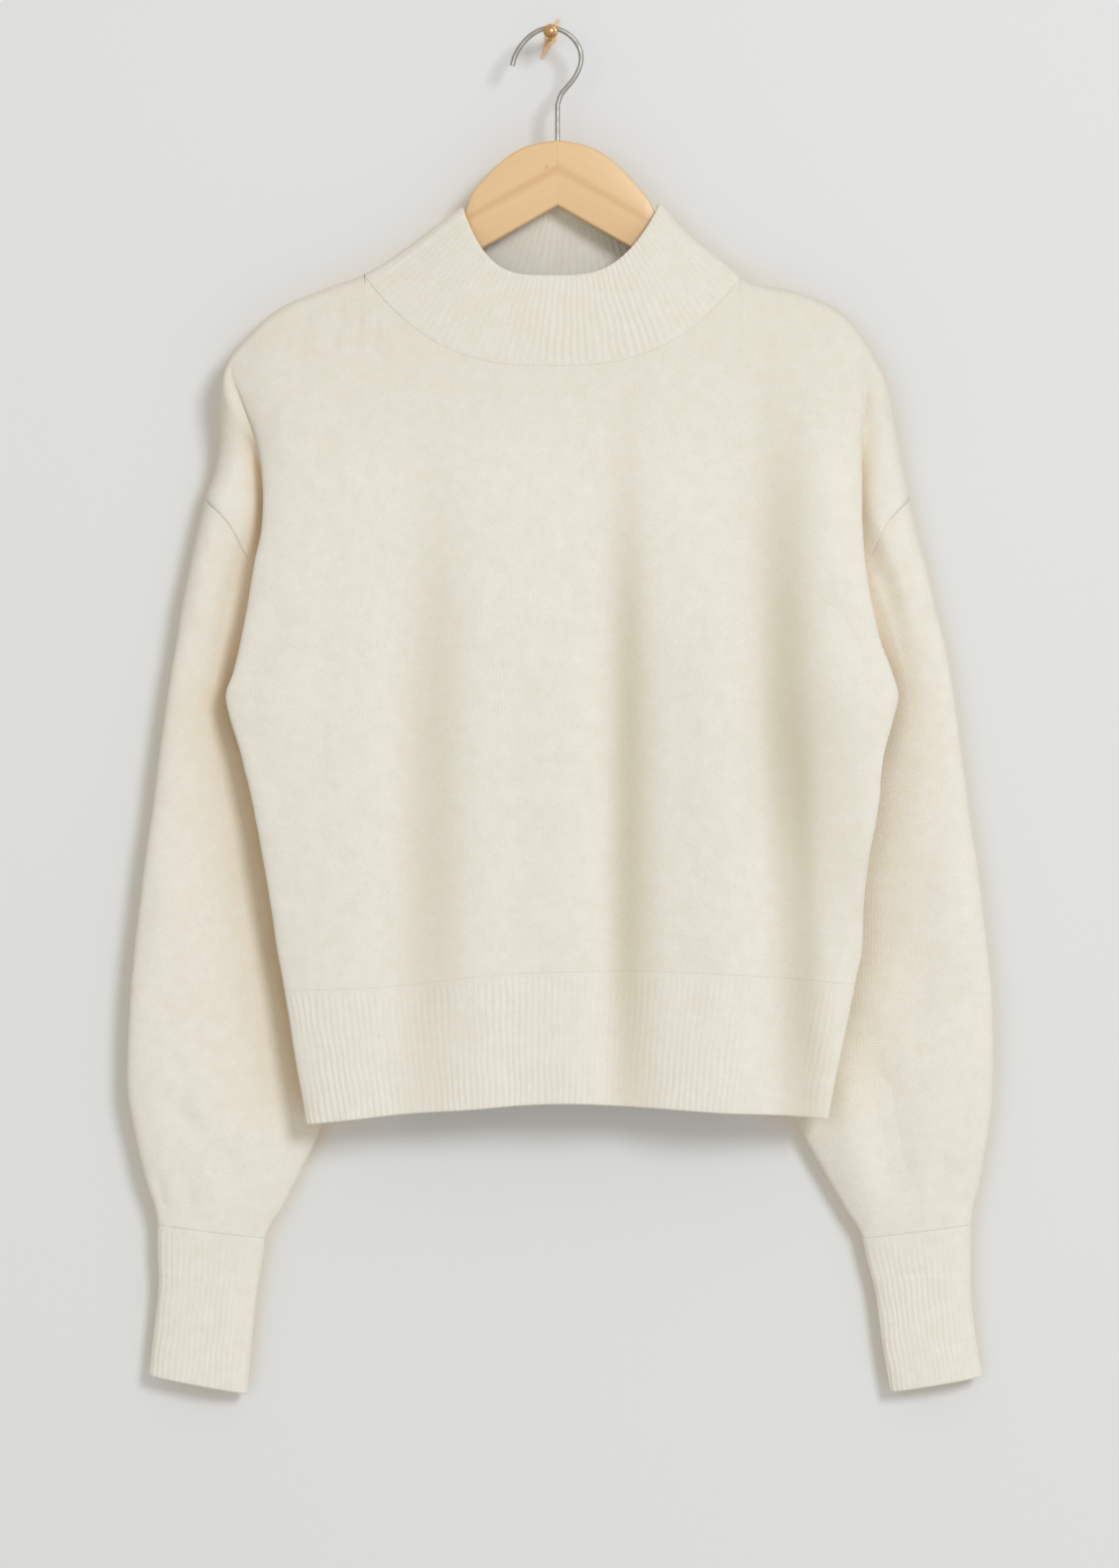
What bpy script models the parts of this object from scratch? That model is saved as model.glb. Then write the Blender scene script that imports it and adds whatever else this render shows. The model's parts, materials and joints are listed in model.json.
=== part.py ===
"""A mock neck sweater on a flat wooden hanger, hung from a small brass wall hook.

The wall is the plane y = 0 and the front of the sweater faces -Y. The origin is where the wall
hook's plate meets the wall. Sizes below are in millimetres, and depth is the distance in front of
the wall. Every knitted piece is a wall of cloth: its outer face is a surface worked out from the
tables, and its inner face is laid off from it along the cloth's own slope, so that pieces which
meet at a seam are cut square to each other. Blender's Solidify would lean each rim by itself, and
the ribbed pieces have a finer outside than inside, so the walls are lofted here.
"""

import math

import bmesh
import bpy
import numpy as np

MM = 0.001
MERGE_WITHIN = 0.00001
SHARP_ANGLE = 40

# Cloth
PANEL_WALL = 2.4
RIB_WALL = 2.8
RIB_RISE = 0.9
INNER_REACH = 10.0
SEAM_GAP = 0.5
SEAM_REACH = 9.0
SEAM_BLEND = 4.0

# Ribs, counted round each piece
HEM_RIBS = 94
COLLAR_FRONT_RIBS = 56
COLLAR_BACK_RIBS = 44
CUFF_RIBS = 38
# The row of a welt or cuff, half way down, on which its ribs are evenly spaced
RIB_MIDDLE = 1.5

# How far the cloth stands off the wall
RIDGE_DEPTH = 26.0
RIDGE_RADIUS = 9.2
FRONT_SWELL = 22.0
FRONT_SWELL_DROP = 70.0
BACK_DEPTH = 5.0
BACK_SWELL_DROP = 30.0

# The shoulder, the neckline and the top edge of the collar
BREAK_LEFT, BREAK_RIGHT, BREAK_Z = -202.0, 205.0, -203.0
NECK_X, NECK_HALF, NECK_FRONT_Z, NECK_RISE, NECK_POWER = 1.5, 119.5, -213.7, 58.5, 2.8
BACK_NECK_Z, BACK_NECK_RISE, BACK_NECK_POWER = -172.0, 16.8, 2.4
RIM_X, RIM_HALF, RIM_FRONT_Z, RIM_RISE = 6.3, 62.4, -156.0, 45.8
RIM_POWER_LEFT, RIM_POWER_RIGHT = 4.2, 2.8
BACK_RIM_Z, BACK_RIM_RISE, BACK_RIM_POWER = -108.5, -4.0, 2.0
TOP_LINE = (
    ("x", "z"),
    (-202, -203.4),
    (-181, -181.5),
    (-143, -162.5),
    (-118, -153.2),
    (-101, -143.4),
    (-75, -124.8),
    (-56, -110.6),
    (-30, -98.0),
    (5, -92.0),
    (40, -96.5),
    (68.7, -108.6),
    (83, -124.4),
    (111, -146.5),
    (121, -155.0),
    (158, -165.5),
    (191, -184.0),
    (205, -203.4),
)

# The outline of the drop shoulder below the break, past the top of the armhole
CAP_LINE = (
    ("z", "left", "right"),
    (-203, -202.0, 205.0),
    (-212, -207.0, 209.5),
    (-222, -209.6, 214.0),
    (-244, -210.6, 219.5),
    (-260, -211.2, 222.5),
    (-275, -213.2, 224.8),
    (-296, -220.5, 229.0),
    (-320, -226.2, 234.6),
    (-345, -231.3, 240.4),
)

# The fold down each side of the body, where the front turns back beside the sleeve
FOLD_LINE = (
    ("z", "left", "right"),
    (-203, -202.0, 205.0),
    (-216, -201.5, 200.5),
    (-237, -194.0, 198.0),
    (-257, -186.5, 197.3),
    (-290, -182.0, 197.2),
    (-315, -182.6, 197.3),
    (-344, -188.4, 199.8),
    (-369, -192.0, 204.4),
    (-389, -196.0, 209.5),
    (-407, -200.8, 216.0),
    (-420, -205.2, 219.4),
    (-437, -202.2, 216.2),
    (-454, -196.8, 212.4),
    (-488, -188.3, 207.6),
    (-520, -182.4, 201.8),
    (-554, -176.4, 198.0),
    (-587, -171.6, 196.2),
    (-610, -167.6, 190.8),
    (-648, -161.4, 182.6),
    (-692, -153.7, 174.6),
)

# Behind the fold: how far inside it the groove and the seam lie, and their depths. The seam is
# the armhole's down to its foot, and then the side seam.
SIDE_LINE = (
    ("z", "groove_in", "groove_depth", "seam_in", "seam_depth"),
    (-203, 0.0, 26.0, 2.4, 25.0),
    (-245, 3.0, 26.0, 2.4, 25.0),
    (-275, 5.0, 25.0, 2.4, 25.0),
    (-341, 5.5, 24.0, 2.4, 25.0),
    (-365, 4.0, 26.5, 2.5, 25.0),
    (-385, 3.0, 29.0, 2.6, 25.6),
    (-408, 3.0, 32.5, 3.2, 28.0),
    (-420, 2.8, 36.0, 3.6, 31.0),
    (-440, 2.0, 39.0, 3.8, 34.5),
    (-470, 1.4, 40.0, 3.8, 35.5),
    (-610, 1.4, 41.0, 3.8, 35.0),
    (-692, 1.4, 42.0, 3.8, 36.0),
)

# The visible part of the armhole seam, from its top inwards to the groove
ARMHOLE_FRONT = (
    ("z", "left", "right"),
    (-296, -220.5, 229.0),
    (-299.5, -217.2, 225.6),
    (-306, -210.2, 219.0),
    (-312, -204.8, 213.6),
    (-319, -200.2, 209.4),
    (-331, -194.0, 204.0),
    (-343, -185.5, 197.6),
)
ARMHOLE_TOP_Z = -296.0

# The back of the armhole, from its top (share 0) to its foot (1): how far it lies inside a straight
# line between them, and how much of its drop it has made
ARMHOLE_BACK = (
    ("share", "in", "down"),
    (0.0, 0.0, 0.0),
    (0.16, 12.0, 0.15),
    (0.36, 22.0, 0.38),
    (0.58, 27.0, 0.62),
    (0.78, 19.5, 0.83),
    (0.90, 11.0, 0.93),
    (1.0, 0.0, 1.0),
)

# Soft folds down the front: a ridge stands out and a trough sinks in
FRONT_FOLDS = (
    ("x_top", "x_hem", "start_z", "half_width", "rise"),
    (-72, -74, -270, 24, -3.2),
    (58, 60, -270, 20, -5.0),
    (148, 166, -270, 18, -6.0),
    (-124, -128, -300, 26, 2.0),
    (12, 14, -290, 26, 3.6),
    (106, 112, -290, 22, 4.0),
    (184, 184, -380, 14, 1.5),
)
BACK_FOLDS = (
    ("x_top", "x_hem", "start_z", "half_width", "rise"),
    (-84, -92, -300, 30, 3.0),
    (-20, -10, -340, 26, 2.2),
    (52, 46, -280, 24, 3.4),
    (118, 126, -320, 28, 2.6),
)
FOLD_FADE = 190.0
BACK_FOLD_SHARE = 0.5

RIB_SEAM = (
    ("x", "z"),
    (-168, -606.8),
    (-120, -605.6),
    (-80, -602.2),
    (-40, -597.4),
    (10, -594.8),
    (77, -595.2),
    (134, -598.0),
    (191, -603.0),
)
HEM_EDGE = (
    ("x", "z"),
    (-154, -691.5),
    (-127, -688.6),
    (-100, -685.4),
    (-48, -681.8),
    (-18, -679.0),
    (16, -678.0),
    (63, -681.0),
    (103, -683.6),
    (152, -686.0),
    (175, -688.5),
)
BACK_HEM_LIFT = 15.0
# Levels on the two folds where the rib seam and the hem's edge are measured across
SEAM_LEVEL, HEM_LEVEL = -605, -690

# Sleeves: "station" 0 is the armhole, 1 the cuff seam and 2 the cuff's edge
LEFT_SLEEVE = (
    ("station", "outer_x", "outer_z", "inner_x", "inner_z", "outer_depth", "inner_depth", "swell"),
    (0.0, -220.5, -296, -201.6, -420, 14, 31.0, 12),
    (0.1, -230.6, -342, -186, -457, 16, 15, 16),
    (0.25, -242.5, -411, -163, -509, 18, 11, 17),
    (0.4, -252.0, -480, -150, -560, 19, 11, 17),
    (0.55, -261.2, -549.6, -142, -611.6, 20, 11, 17),
    (0.7, -268.0, -618.7, -140.5, -663, 20, 11, 16),
    (0.8, -269.5, -665, -147, -697, 19, 12, 15),
    (0.88, -264.7, -701.7, -159.5, -725, 17, 12, 14),
    (0.94, -257.8, -729, -169.5, -745, 16, 13, 12),
    (1.0, -250.5, -757, -181.5, -766, 15, 13, 10),
    (1.33, -249.5, -790, -186.8, -798, 14, 13, 8.5),
    (1.66, -252.3, -822, -190.4, -832, 13, 13, 8.5),
    (2.0, -255.8, -853.7, -193.4, -865.6, 13, 13, 9),
)
RIGHT_SLEEVE = (
    ("station", "outer_x", "outer_z", "inner_x", "inner_z", "outer_depth", "inner_depth", "swell"),
    (0.0, 229.0, -296, 215.8, -420, 14, 31.0, 12),
    (0.1, 240.0, -341, 201, -453, 16, 15, 16),
    (0.25, 255.2, -410, 178.5, -504, 18, 11, 17),
    (0.4, 264.6, -479, 162, -556, 19, 11, 17),
    (0.55, 274.2, -548.7, 153, -608.5, 20, 11, 17),
    (0.7, 281.4, -618, 150.5, -661, 20, 11, 16),
    (0.8, 282.0, -664.4, 159, -696, 19, 12, 15),
    (0.88, 278.6, -701.4, 174, -724, 17, 12, 14),
    (0.94, 274.2, -729, 186, -745, 16, 13, 12),
    (1.0, 268.2, -757, 198.4, -766, 15, 13, 10),
    (1.33, 267.8, -791, 206.3, -798, 14, 13, 8.5),
    (1.66, 270.2, -823, 211.2, -832, 13, 13, 8.5),
    (2.0, 275.4, -854.3, 216.7, -864.4, 13, 13, 9),
)
STEADY_COLUMNS = ("outer_x", "inner_x")
SLEEVE_BACK_DEPTH = 4.0
SLEEVE_FLATNESS = 0.75
SLEEVE_LEAN, CUFF_LEAN = 0.95, 0.15
LEAN_START, LEAN_SPAN = 0.45, 0.5
ARMHOLE_FADE = 0.25

# Cap of the drop shoulder: how it rounds away from its outline
CAP_DEPTH = 14.0
CAP_SWELL = 18.0
CAP_RADIUS = 15.0
CAP_SETTLE = 70.0
GROOVE_DIP = 7.0
GROOVE_START = 15.0
GROOVE_WIDTH = 9.0
BEHIND_ROWS = 0.16
FOLD_DROP, FOLD_DROP_REACH = 12.0, 60.0
FOLD_ROUNDING = 3.2
FOLD_SETTLE = 120.0
BACK_SIDE_REACH = 80.0
BACK_LIFT_Z, BACK_LIFT_FULL_Z = -372.0, -420.0

# Rows down a body panel, from its top edge (0) to the rib seam (1). Row ARMHOLE_ROWS is the
# armhole's foot.
PANEL_ROWS = (
    0.0, 0.006, 0.02, 0.042, 0.075, 0.12, 0.17, 0.225, 0.28, 0.34,
    0.395, 0.445, 0.485, 0.512, 0.53, 0.57, 0.64, 0.75, 0.87, 1.0,
)
ARMHOLE_ROWS = 14
GROOVE_ROW = 9
# Columns: the cap and side run from 2 (seam) to 1 (fold), and the body from 1 to -1
SIDE_COLUMNS = (2.0, 1.8, 1.6, 1.42, 1.3, 1.22, 1.14, 1.07)
GROOVE_OUT = 0.3
SHOULDER_COLUMNS = (1.0, 0.985, 0.95, 0.88, 0.8, 0.68)
NECK_COLUMNS = 30
NECK_CROWDING = 0.9
SLEEVE_ROWS, SLEEVE_ROW_CROWDING = 15, 1.15
HEM_ROWS = 2
COLLAR_ROWS = 5
COLLAR_START = 0.005
CUFF_ROWS = 3
CUFF_START = 0.0012
# Points to measure lengths along a line by
EDGE_SAMPLES, LINE_SAMPLES, ARMHOLE_SAMPLES = 900, 1200, 400

# Hanger, steel hook and wall hook
HANGER_X = 4.4
HANGER_HALF_THICK = 5.0
HANGER_THINNING = 0.25
HANGER_OUTLINE = (
    ("away", "top", "low"),
    (0.0, -68.8, -110.3),
    (10.0, -70.2, -116.0),
    (20.0, -72.8, -121.7),
    (30.0, -78.0, -127.4),
    (40.0, -86.3, -133.1),
    (50.0, -96.8, -138.8),
    (60.0, -108.8, -144.5),
    (100.0, -140.0, -166.0),
    (150.0, -164.0, -188.0),
    (193.0, -190.0, -205.0),
)
HANGER_STATIONS = (
    0.15, 7, 14, 21, 28, 35, 42, 49, 54, 57, 60, 64, 76, 98, 124, 150, 170, 179,
)
HANGER_SINK = 7.0
HANGER_UNDER_CLOTH = 7.3
HANGER_LENGTH = 190.0
HANGER_TIP, HANGER_TIP_TURN, HANGER_TIP_RINGS, HANGER_TIP_THINNING = 9.0, 1.35, 4, 0.6
HANGER_SQUARENESS = 4.0
HANGER_SIDES = 12
WIRE_RADIUS = 1.55
WIRE_CENTRE, WIRE_BEND = (-1.8, -18.6), 21.8
WIRE_START_ANGLE, WIRE_END_ANGLE = 188.0, -24.0
WIRE_STEM_TOP, WIRE_FOOT = -43.0, -86.0
WIRE_TURN = ((-6.2, -6.6), (1.6, 5.5), (0.0, -3.0))
WIRE_STEM_SINK = 8.0
WIRE_CROOK_POINTS, WIRE_TURN_POINTS, WIRE_STEM_POINTS = 18, 8, 5
WIRE_HOLE_RADIUS, WIRE_HOLE_FOOT, WIRE_HOLE_TOP = 1.9, -88.0, -60.0
HOLE_SEGMENTS = 20
PEG_RADIUS, PEG_LENGTH = 1.2, 31.0
PEG_X, PEG_Z = 0.0, -0.33
PEG_CLEARANCE = 0.3
KNOB_CUP = ((4.5, 0.6), (4.7, 2.0), (4.0, 2.9), (3.1, 2.3))
KNOB_BALL_RADIUS, KNOB_BALL_RISE, KNOB_BALL_POINTS, PEG_SEGMENTS = 2.9, 2.4, 4, 13
PLATE_HALF_HEIGHT, PLATE_HALF_WIDTH, PLATE_THICK, PLATE_TILT = 14.1, 1.9, 1.6, -23.0
PLATE_BOSS_RADIUS, PLATE_TAPER, PLATE_POINTS = 3.7, 0.35, 28


def column(table, name):
    """One named column of a table, read as numbers."""
    place = table[0].index(name)
    return np.array([row[place] for row in table[1:]], float)


def curve(table, name):
    """A smooth curve through one column of a table, as a function of its first column."""
    knots = column(table, table[0][0])
    values = column(table, name)
    order = np.argsort(knots)
    knots, values = knots[order], values[order]
    slopes = np.gradient(values, knots)
    if name in STEADY_COLUMNS:
        # No slope is so steep that the curve would swing past a row of the table
        secants = np.diff(values) / np.diff(knots)
        steepest = 3 * np.minimum(np.abs(secants[:-1]), np.abs(secants[1:]))
        steepest = np.where(secants[:-1] * secants[1:] > 0, steepest, 0.0)
        slopes[1:-1] = np.clip(slopes[1:-1], -steepest, steepest)

    def read(q):
        q = np.clip(np.asarray(q, float), knots[0], knots[-1])
        i = np.clip(np.searchsorted(knots, q, side="right") - 1, 0, len(knots) - 2)
        width = knots[i + 1] - knots[i]
        s = (q - knots[i]) / width
        near = (1 + 2 * s) * (1 - s) ** 2 * values[i] + s * (1 - s) ** 2 * width * slopes[i]
        far = s**2 * (3 - 2 * s) * values[i + 1] + s**2 * (s - 1) * width * slopes[i + 1]
        return near + far

    return read


def curves(table):
    return {name: curve(table, name) for name in table[0][1:]}


def mix(a, b, share):
    return a + (b - a) * share


def ease(q):
    """0 below 0, 1 above 1, smooth between."""
    q = np.clip(q, 0.0, 1.0)
    return q * q * (3 - 2 * q)


top_line = curve(TOP_LINE, "z")
rib_seam = curve(RIB_SEAM, "z")
hem_edge = curve(HEM_EDGE, "z")
fold_line = curves(FOLD_LINE)
cap_line = curves(CAP_LINE)
armhole_front = curves(ARMHOLE_FRONT)
armhole_back = curves(ARMHOLE_BACK)
side_line = curves(SIDE_LINE)
SIDES = {"left": -1.0, "right": 1.0}


def drop_over(run):
    """How far a point sinks below the ridge after running this far over it."""
    quarter = RIDGE_RADIUS * math.pi / 2
    bent = RIDGE_RADIUS * (1 - np.cos(np.minimum(run, quarter) / RIDGE_RADIUS))
    return np.where(run < quarter, bent, RIDGE_RADIUS + run - quarter)


def run_over(drop):
    """The run over the ridge that sinks this far: the inverse of drop_over."""
    drop = np.maximum(drop, 0.0)
    bent = RIDGE_RADIUS * np.arccos(1 - np.minimum(drop, RIDGE_RADIUS) / RIDGE_RADIUS)
    return np.where(drop < RIDGE_RADIUS, bent, drop + RIDGE_RADIUS * (math.pi / 2 - 1))


def offset_over(run, swell, swell_drop):
    """How far a point stands off the ridge after running this far over it."""
    quarter = RIDGE_RADIUS * math.pi / 2
    bent = RIDGE_RADIUS * np.sin(np.minimum(run, quarter) / RIDGE_RADIUS)
    further = np.maximum(run - quarter, 0.0)
    return bent + swell * (1 - np.exp(-further / swell_drop))


def front_depth(run):
    return RIDGE_DEPTH + offset_over(run, FRONT_SWELL, FRONT_SWELL_DROP)


def back_depth(run):
    swell = RIDGE_DEPTH - RIDGE_RADIUS - BACK_DEPTH
    return RIDGE_DEPTH - offset_over(run, swell, BACK_SWELL_DROP)


def soft_folds(table, x, z):
    """The soft folds of one body panel at a place on it."""
    total = np.zeros(np.broadcast(x, z).shape)
    for x_top, x_hem, start_z, half_width, rise in table[1:]:
        middle = mix(x_top, x_hem, (start_z - z) / (start_z - FOLD_LINE[-1][0]))
        strength = ease((start_z - z) / FOLD_FADE)
        total = total + rise * strength * np.exp(-(((x - middle) / half_width) ** 2))
    return total


def neck_z(x):
    """Height of the front neck seam."""
    return NECK_FRONT_Z + NECK_RISE * (np.abs(x - NECK_X) / NECK_HALF) ** NECK_POWER


def back_neck_z(x):
    """Height of the back neck seam."""
    away = np.abs(x - NECK_X) / NECK_HALF
    return BACK_NECK_Z + BACK_NECK_RISE * away**BACK_NECK_POWER


def rim_z(x):
    """Height of the collar's front edge."""
    away = (x - RIM_X) / RIM_HALF
    power = np.where(away < 0, RIM_POWER_LEFT, RIM_POWER_RIGHT)
    return RIM_FRONT_Z + RIM_RISE * np.abs(away) ** power


def back_rim_z(x):
    """Height of the collar's back edge."""
    away = np.abs(x - RIM_X) / RIM_HALF
    return BACK_RIM_Z + BACK_RIM_RISE * away**BACK_RIM_POWER


def body_point(t, v, front):
    """Place and run of a point of the body between its two folds, t from -1 to 1, as (x, z, run).

    Row v is 0 at the shoulder or neck seam, 1 at the rib seam and 2 at the hem's edge.
    """
    share = (t + 1) / 2
    x_top = mix(BREAK_LEFT, BREAK_RIGHT, share)
    neck = neck_z(x_top) if front else back_neck_z(x_top)
    in_neck = np.abs(x_top - NECK_X) < NECK_HALF
    z_top = top_line(x_top)
    run_top = np.where(in_neck, run_over(z_top - neck), 0.0)
    z_seam = rib_seam(mix(fold_line["left"](SEAM_LEVEL), fold_line["right"](SEAM_LEVEL), share))
    z_edge = hem_edge(mix(fold_line["left"](HEM_LEVEL), fold_line["right"](HEM_LEVEL), share))
    if not front:
        z_seam = mix(RIB_SEAM[1][1], RIB_SEAM[-1][1], share)
        z_edge = mix(HEM_EDGE[1][1], HEM_EDGE[-1][1], share) + BACK_HEM_LIFT * (1 - t**2)
    run = mix(run_top, run_over(z_top - z_seam), np.minimum(v, 1.0))
    z = np.where(v > 1, mix(z_seam, z_edge, v - 1), z_top - drop_over(run))
    between_folds = mix(fold_line["left"](z), fold_line["right"](z), share)
    kept = (1 - t**4) * (1 - ease((NECK_FRONT_Z - z) / FOLD_SETTLE))
    return mix(between_folds, x_top, kept), z, run_over(z_top - z)


def front_body(t, v):
    """Front of the body between its two folds."""
    x, z, run = body_point(t, v, True)
    rounding = (1 - np.abs(t) ** FOLD_ROUNDING) ** (1 / FOLD_ROUNDING)
    turned_back = FOLD_DROP * ease((BREAK_Z - z) / FOLD_DROP_REACH)
    depth = front_depth(run) - turned_back * (1 - rounding)
    return np.stack([x, depth + soft_folds(FRONT_FOLDS, x, z) * rounding, z], -1)


def armhole_row_z(side, v):
    """Height of the side's seam on each row: the armhole's to GROOVE_ROW, then level rows."""
    fold_z = body_point(SIDES[side], v, True)[1]
    groove_v = PANEL_ROWS[GROOVE_ROW]
    groove_z = body_point(SIDES[side], np.array(groove_v), True)[1]
    return np.where(v < groove_v, mix(ARMHOLE_TOP_Z, groove_z, v / groove_v), fold_z)


def front_side(side, out, v):
    """Front beside a fold: out is 0 on the fold, GROOVE_OUT in the groove and 1 on the seam."""
    sign = SIDES[side]
    fold = front_body(np.full(np.shape(v), sign), v)
    fold_x, fold_depth, fold_z = fold[..., 0], fold[..., 1], fold[..., 2]
    seam_z = armhole_row_z(side, v)
    z = mix(fold_z, seam_z, out)
    past = np.clip((out - GROOVE_OUT) / (1 - GROOVE_OUT), 0.0, 1.0)
    short = np.clip(out / GROOVE_OUT, 0.0, 1.0)
    shown = armhole_front[side](seam_z)
    hidden = fold_line[side](seam_z) - sign * side_line["seam_in"](seam_z)
    behind = ease((v - PANEL_ROWS[GROOVE_ROW - 3]) / BEHIND_ROWS)
    seam_x = np.where(v < PANEL_ROWS[GROOVE_ROW], shown, hidden)
    groove_x = fold_x - sign * side_line["groove_in"](fold_z)
    x = np.where(out < GROOVE_OUT, mix(fold_x, groove_x, ease(short)), mix(groove_x, seam_x, past))
    # The first rows run along the outline of the drop shoulder
    top_z = mix(BREAK_Z, ARMHOLE_TOP_Z, out)
    straight = mix(cap_line[side](BREAK_Z), cap_line[side](ARMHOLE_TOP_Z), past)
    bow = np.clip(1 - v / PANEL_ROWS[GROOVE_ROW], 0.0, 1.0) ** 2
    x = x + (cap_line[side](top_z) - straight) * bow
    inward = np.maximum((cap_line[side](z) - x) * sign, 0.0)
    reach = np.minimum(inward / CAP_RADIUS, 1.0)
    ridge = mix(RIDGE_DEPTH, CAP_DEPTH, ease((BREAK_Z - z) / CAP_SETTLE))
    crest = ridge + CAP_SWELL * np.sqrt(1 - (1 - reach) ** 2)
    dip = GROOVE_DIP * ease((BREAK_Z - z - GROOVE_START) / CAP_SETTLE) * (1 - bow)
    crest = crest - dip * np.exp(-(((x - groove_x) / GROOVE_WIDTH) ** 2))
    low = mix(side_line["groove_depth"](z), side_line["seam_depth"](z), past)
    far_depth = mix(crest, low, behind)
    depth = np.where(out < GROOVE_OUT, mix(fold_depth, far_depth, ease(short)), far_depth)
    return np.stack([x, depth, z], -1)


def front_surface(c, v):
    """Front of the body: |c| up to 1 between the folds, and on to 2 at the seams beside them."""
    c, v = np.broadcast_arrays(np.asarray(c, float), np.asarray(v, float))
    place = front_body(np.clip(c, -1.0, 1.0), v)
    out = np.clip(np.abs(c) - 1, 0.0, 1.0)
    for side, sign in SIDES.items():
        beside = front_side(side, out, v)
        place = np.where((c * sign > 1)[..., None], beside, place)
    return place


def back_edge(side, v):
    """Seam of the back panel on one side: the armhole, then the side seam, as (x, z)."""
    foot_v = PANEL_ROWS[ARMHOLE_ROWS]
    share = v / foot_v
    z = armhole_row_z(side, v)
    foot = front_surface(2 * SIDES[side], np.array(foot_v))
    top_x, foot_x = cap_line[side](ARMHOLE_TOP_Z), foot[..., 0]
    x = mix(top_x, foot_x, share) - SIDES[side] * armhole_back["in"](share)
    hole_z = mix(ARMHOLE_TOP_Z, foot[..., 2], armhole_back["down"](share))
    side_x = fold_line[side](z) - SIDES[side] * side_line["seam_in"](z)
    return np.where(v < foot_v, x, side_x), np.where(v < foot_v, hole_z, z)


def back_surface(c, v):
    """Back of the body, |c| up to 2 at the armholes and side seams."""
    c, v = np.broadcast_arrays(np.asarray(c, float), np.asarray(v, float))
    t = np.clip(c, -1.0, 1.0)
    out = np.clip(np.abs(c) - 1, 0.0, 1.0)
    x_body, z_body, run = body_point(t, v, False)
    x_top = mix(BREAK_LEFT, BREAK_RIGHT, (t + 1) / 2)
    left_x, left_z = back_edge("left", v)
    right_x, right_z = back_edge("right", v)
    cap_z = mix(BREAK_Z, ARMHOLE_TOP_Z, out)
    cap_x = np.where(c < 0, cap_line["left"](cap_z), cap_line["right"](cap_z))
    x_start = np.where(out > 0, cap_x, x_top)
    far_left, far_right = cap_line["left"](ARMHOLE_TOP_Z), cap_line["right"](ARMHOLE_TOP_Z)
    x = mix(left_x, right_x, (x_start - far_left) / (far_right - far_left))
    edge_x, edge_z = np.where(c < 0, left_x, right_x), np.where(c < 0, left_z, right_z)
    z = mix(z_body, edge_z, out)
    slid = np.hypot(edge_x - np.where(c < 0, far_left, far_right), edge_z - ARMHOLE_TOP_Z)
    run = mix(run, slid, out)
    ridge = mix(RIDGE_DEPTH, CAP_DEPTH, ease((BREAK_Z - cap_z) / CAP_SETTLE))
    settled = (back_depth(run) - BACK_DEPTH) / (RIDGE_DEPTH - BACK_DEPTH)
    depth = BACK_DEPTH + (ridge - BACK_DEPTH) * settled
    for side, sign in SIDES.items():
        lift = side_line["seam_depth"](z) - BACK_DEPTH
        lift = lift * ease((BACK_LIFT_Z - z) / (BACK_LIFT_Z - BACK_LIFT_FULL_Z))
        away = np.abs(x - np.where(sign < 0, left_x, right_x)) / BACK_SIDE_REACH
        depth = depth + lift * np.maximum(1 - away, 0.0) ** 2
    depth = depth - soft_folds(BACK_FOLDS, x, z) * BACK_FOLD_SHARE
    return np.stack([x, depth, z], -1)


def sleeve_surface(table, side, around, v):
    """A sleeve and its cuff. around runs from 0 at the outer edge over the front to 1 at the inner
    edge, and on over the back to 2; v is 0 at the armhole, 1 at the cuff seam and 2 at the edge."""
    size = curves(table)
    at_front = around <= 1
    across = np.where(at_front, around, 2 - around)
    fullness = (2 * np.sqrt(across * (1 - across))) ** SLEEVE_FLATNESS

    def ring(station):
        x = mix(size["outer_x"](station), size["inner_x"](station), across)
        z = mix(size["outer_z"](station), size["inner_z"](station), across)
        middle = mix(size["outer_depth"](station), size["inner_depth"](station), across)
        lean = mix(SLEEVE_LEAN, CUFF_LEAN, ease((station - LEAN_START) / LEAN_SPAN))
        front = size["swell"](station) * fullness * (1 - lean * across)
        back = (middle - SLEEVE_BACK_DEPTH) * fullness
        return np.stack([x, middle + np.where(at_front, front, -back), z], -1)

    fade = np.clip(1 - v / ARMHOLE_FADE, 0.0, 1.0) ** 2
    to_seam = armhole_loop(side, around) - ring(np.zeros_like(around))
    return ring(v) + to_seam * fade[..., None]


def armhole_loop(side, around):
    """The armhole seam, by the same measure as a sleeve's: over the front, then over the back."""
    at_front = around <= 1
    fine = np.linspace(0.0, PANEL_ROWS[ARMHOLE_ROWS], ARMHOLE_SAMPLES)
    front_row = np.interp(around, armhole_drop(front_surface, side, fine), fine)
    back_row = np.interp(2 - around, armhole_drop(back_surface, side, fine), fine)
    front = front_surface(2 * SIDES[side], front_row)
    back = back_surface(2 * SIDES[side], back_row)
    return np.where(at_front[..., None], front, back)


def armhole_drop(surface, side, v):
    """How much of its drop the armhole has made at each row of a panel, from 0 to 1."""
    z = surface(2 * SIDES[side], v)[..., 2]
    return (z[0] - z) / (z[0] - z[-1])


def sleeve_columns(side):
    """Columns round a sleeve, one for each row of the panels that reaches the armhole."""
    rows = np.array(PANEL_ROWS[: ARMHOLE_ROWS + 1])
    over_front = armhole_drop(front_surface, side, rows)
    over_back = armhole_drop(back_surface, side, rows)
    return np.concatenate([over_front, 2 - over_back[-2:0:-1]])


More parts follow.
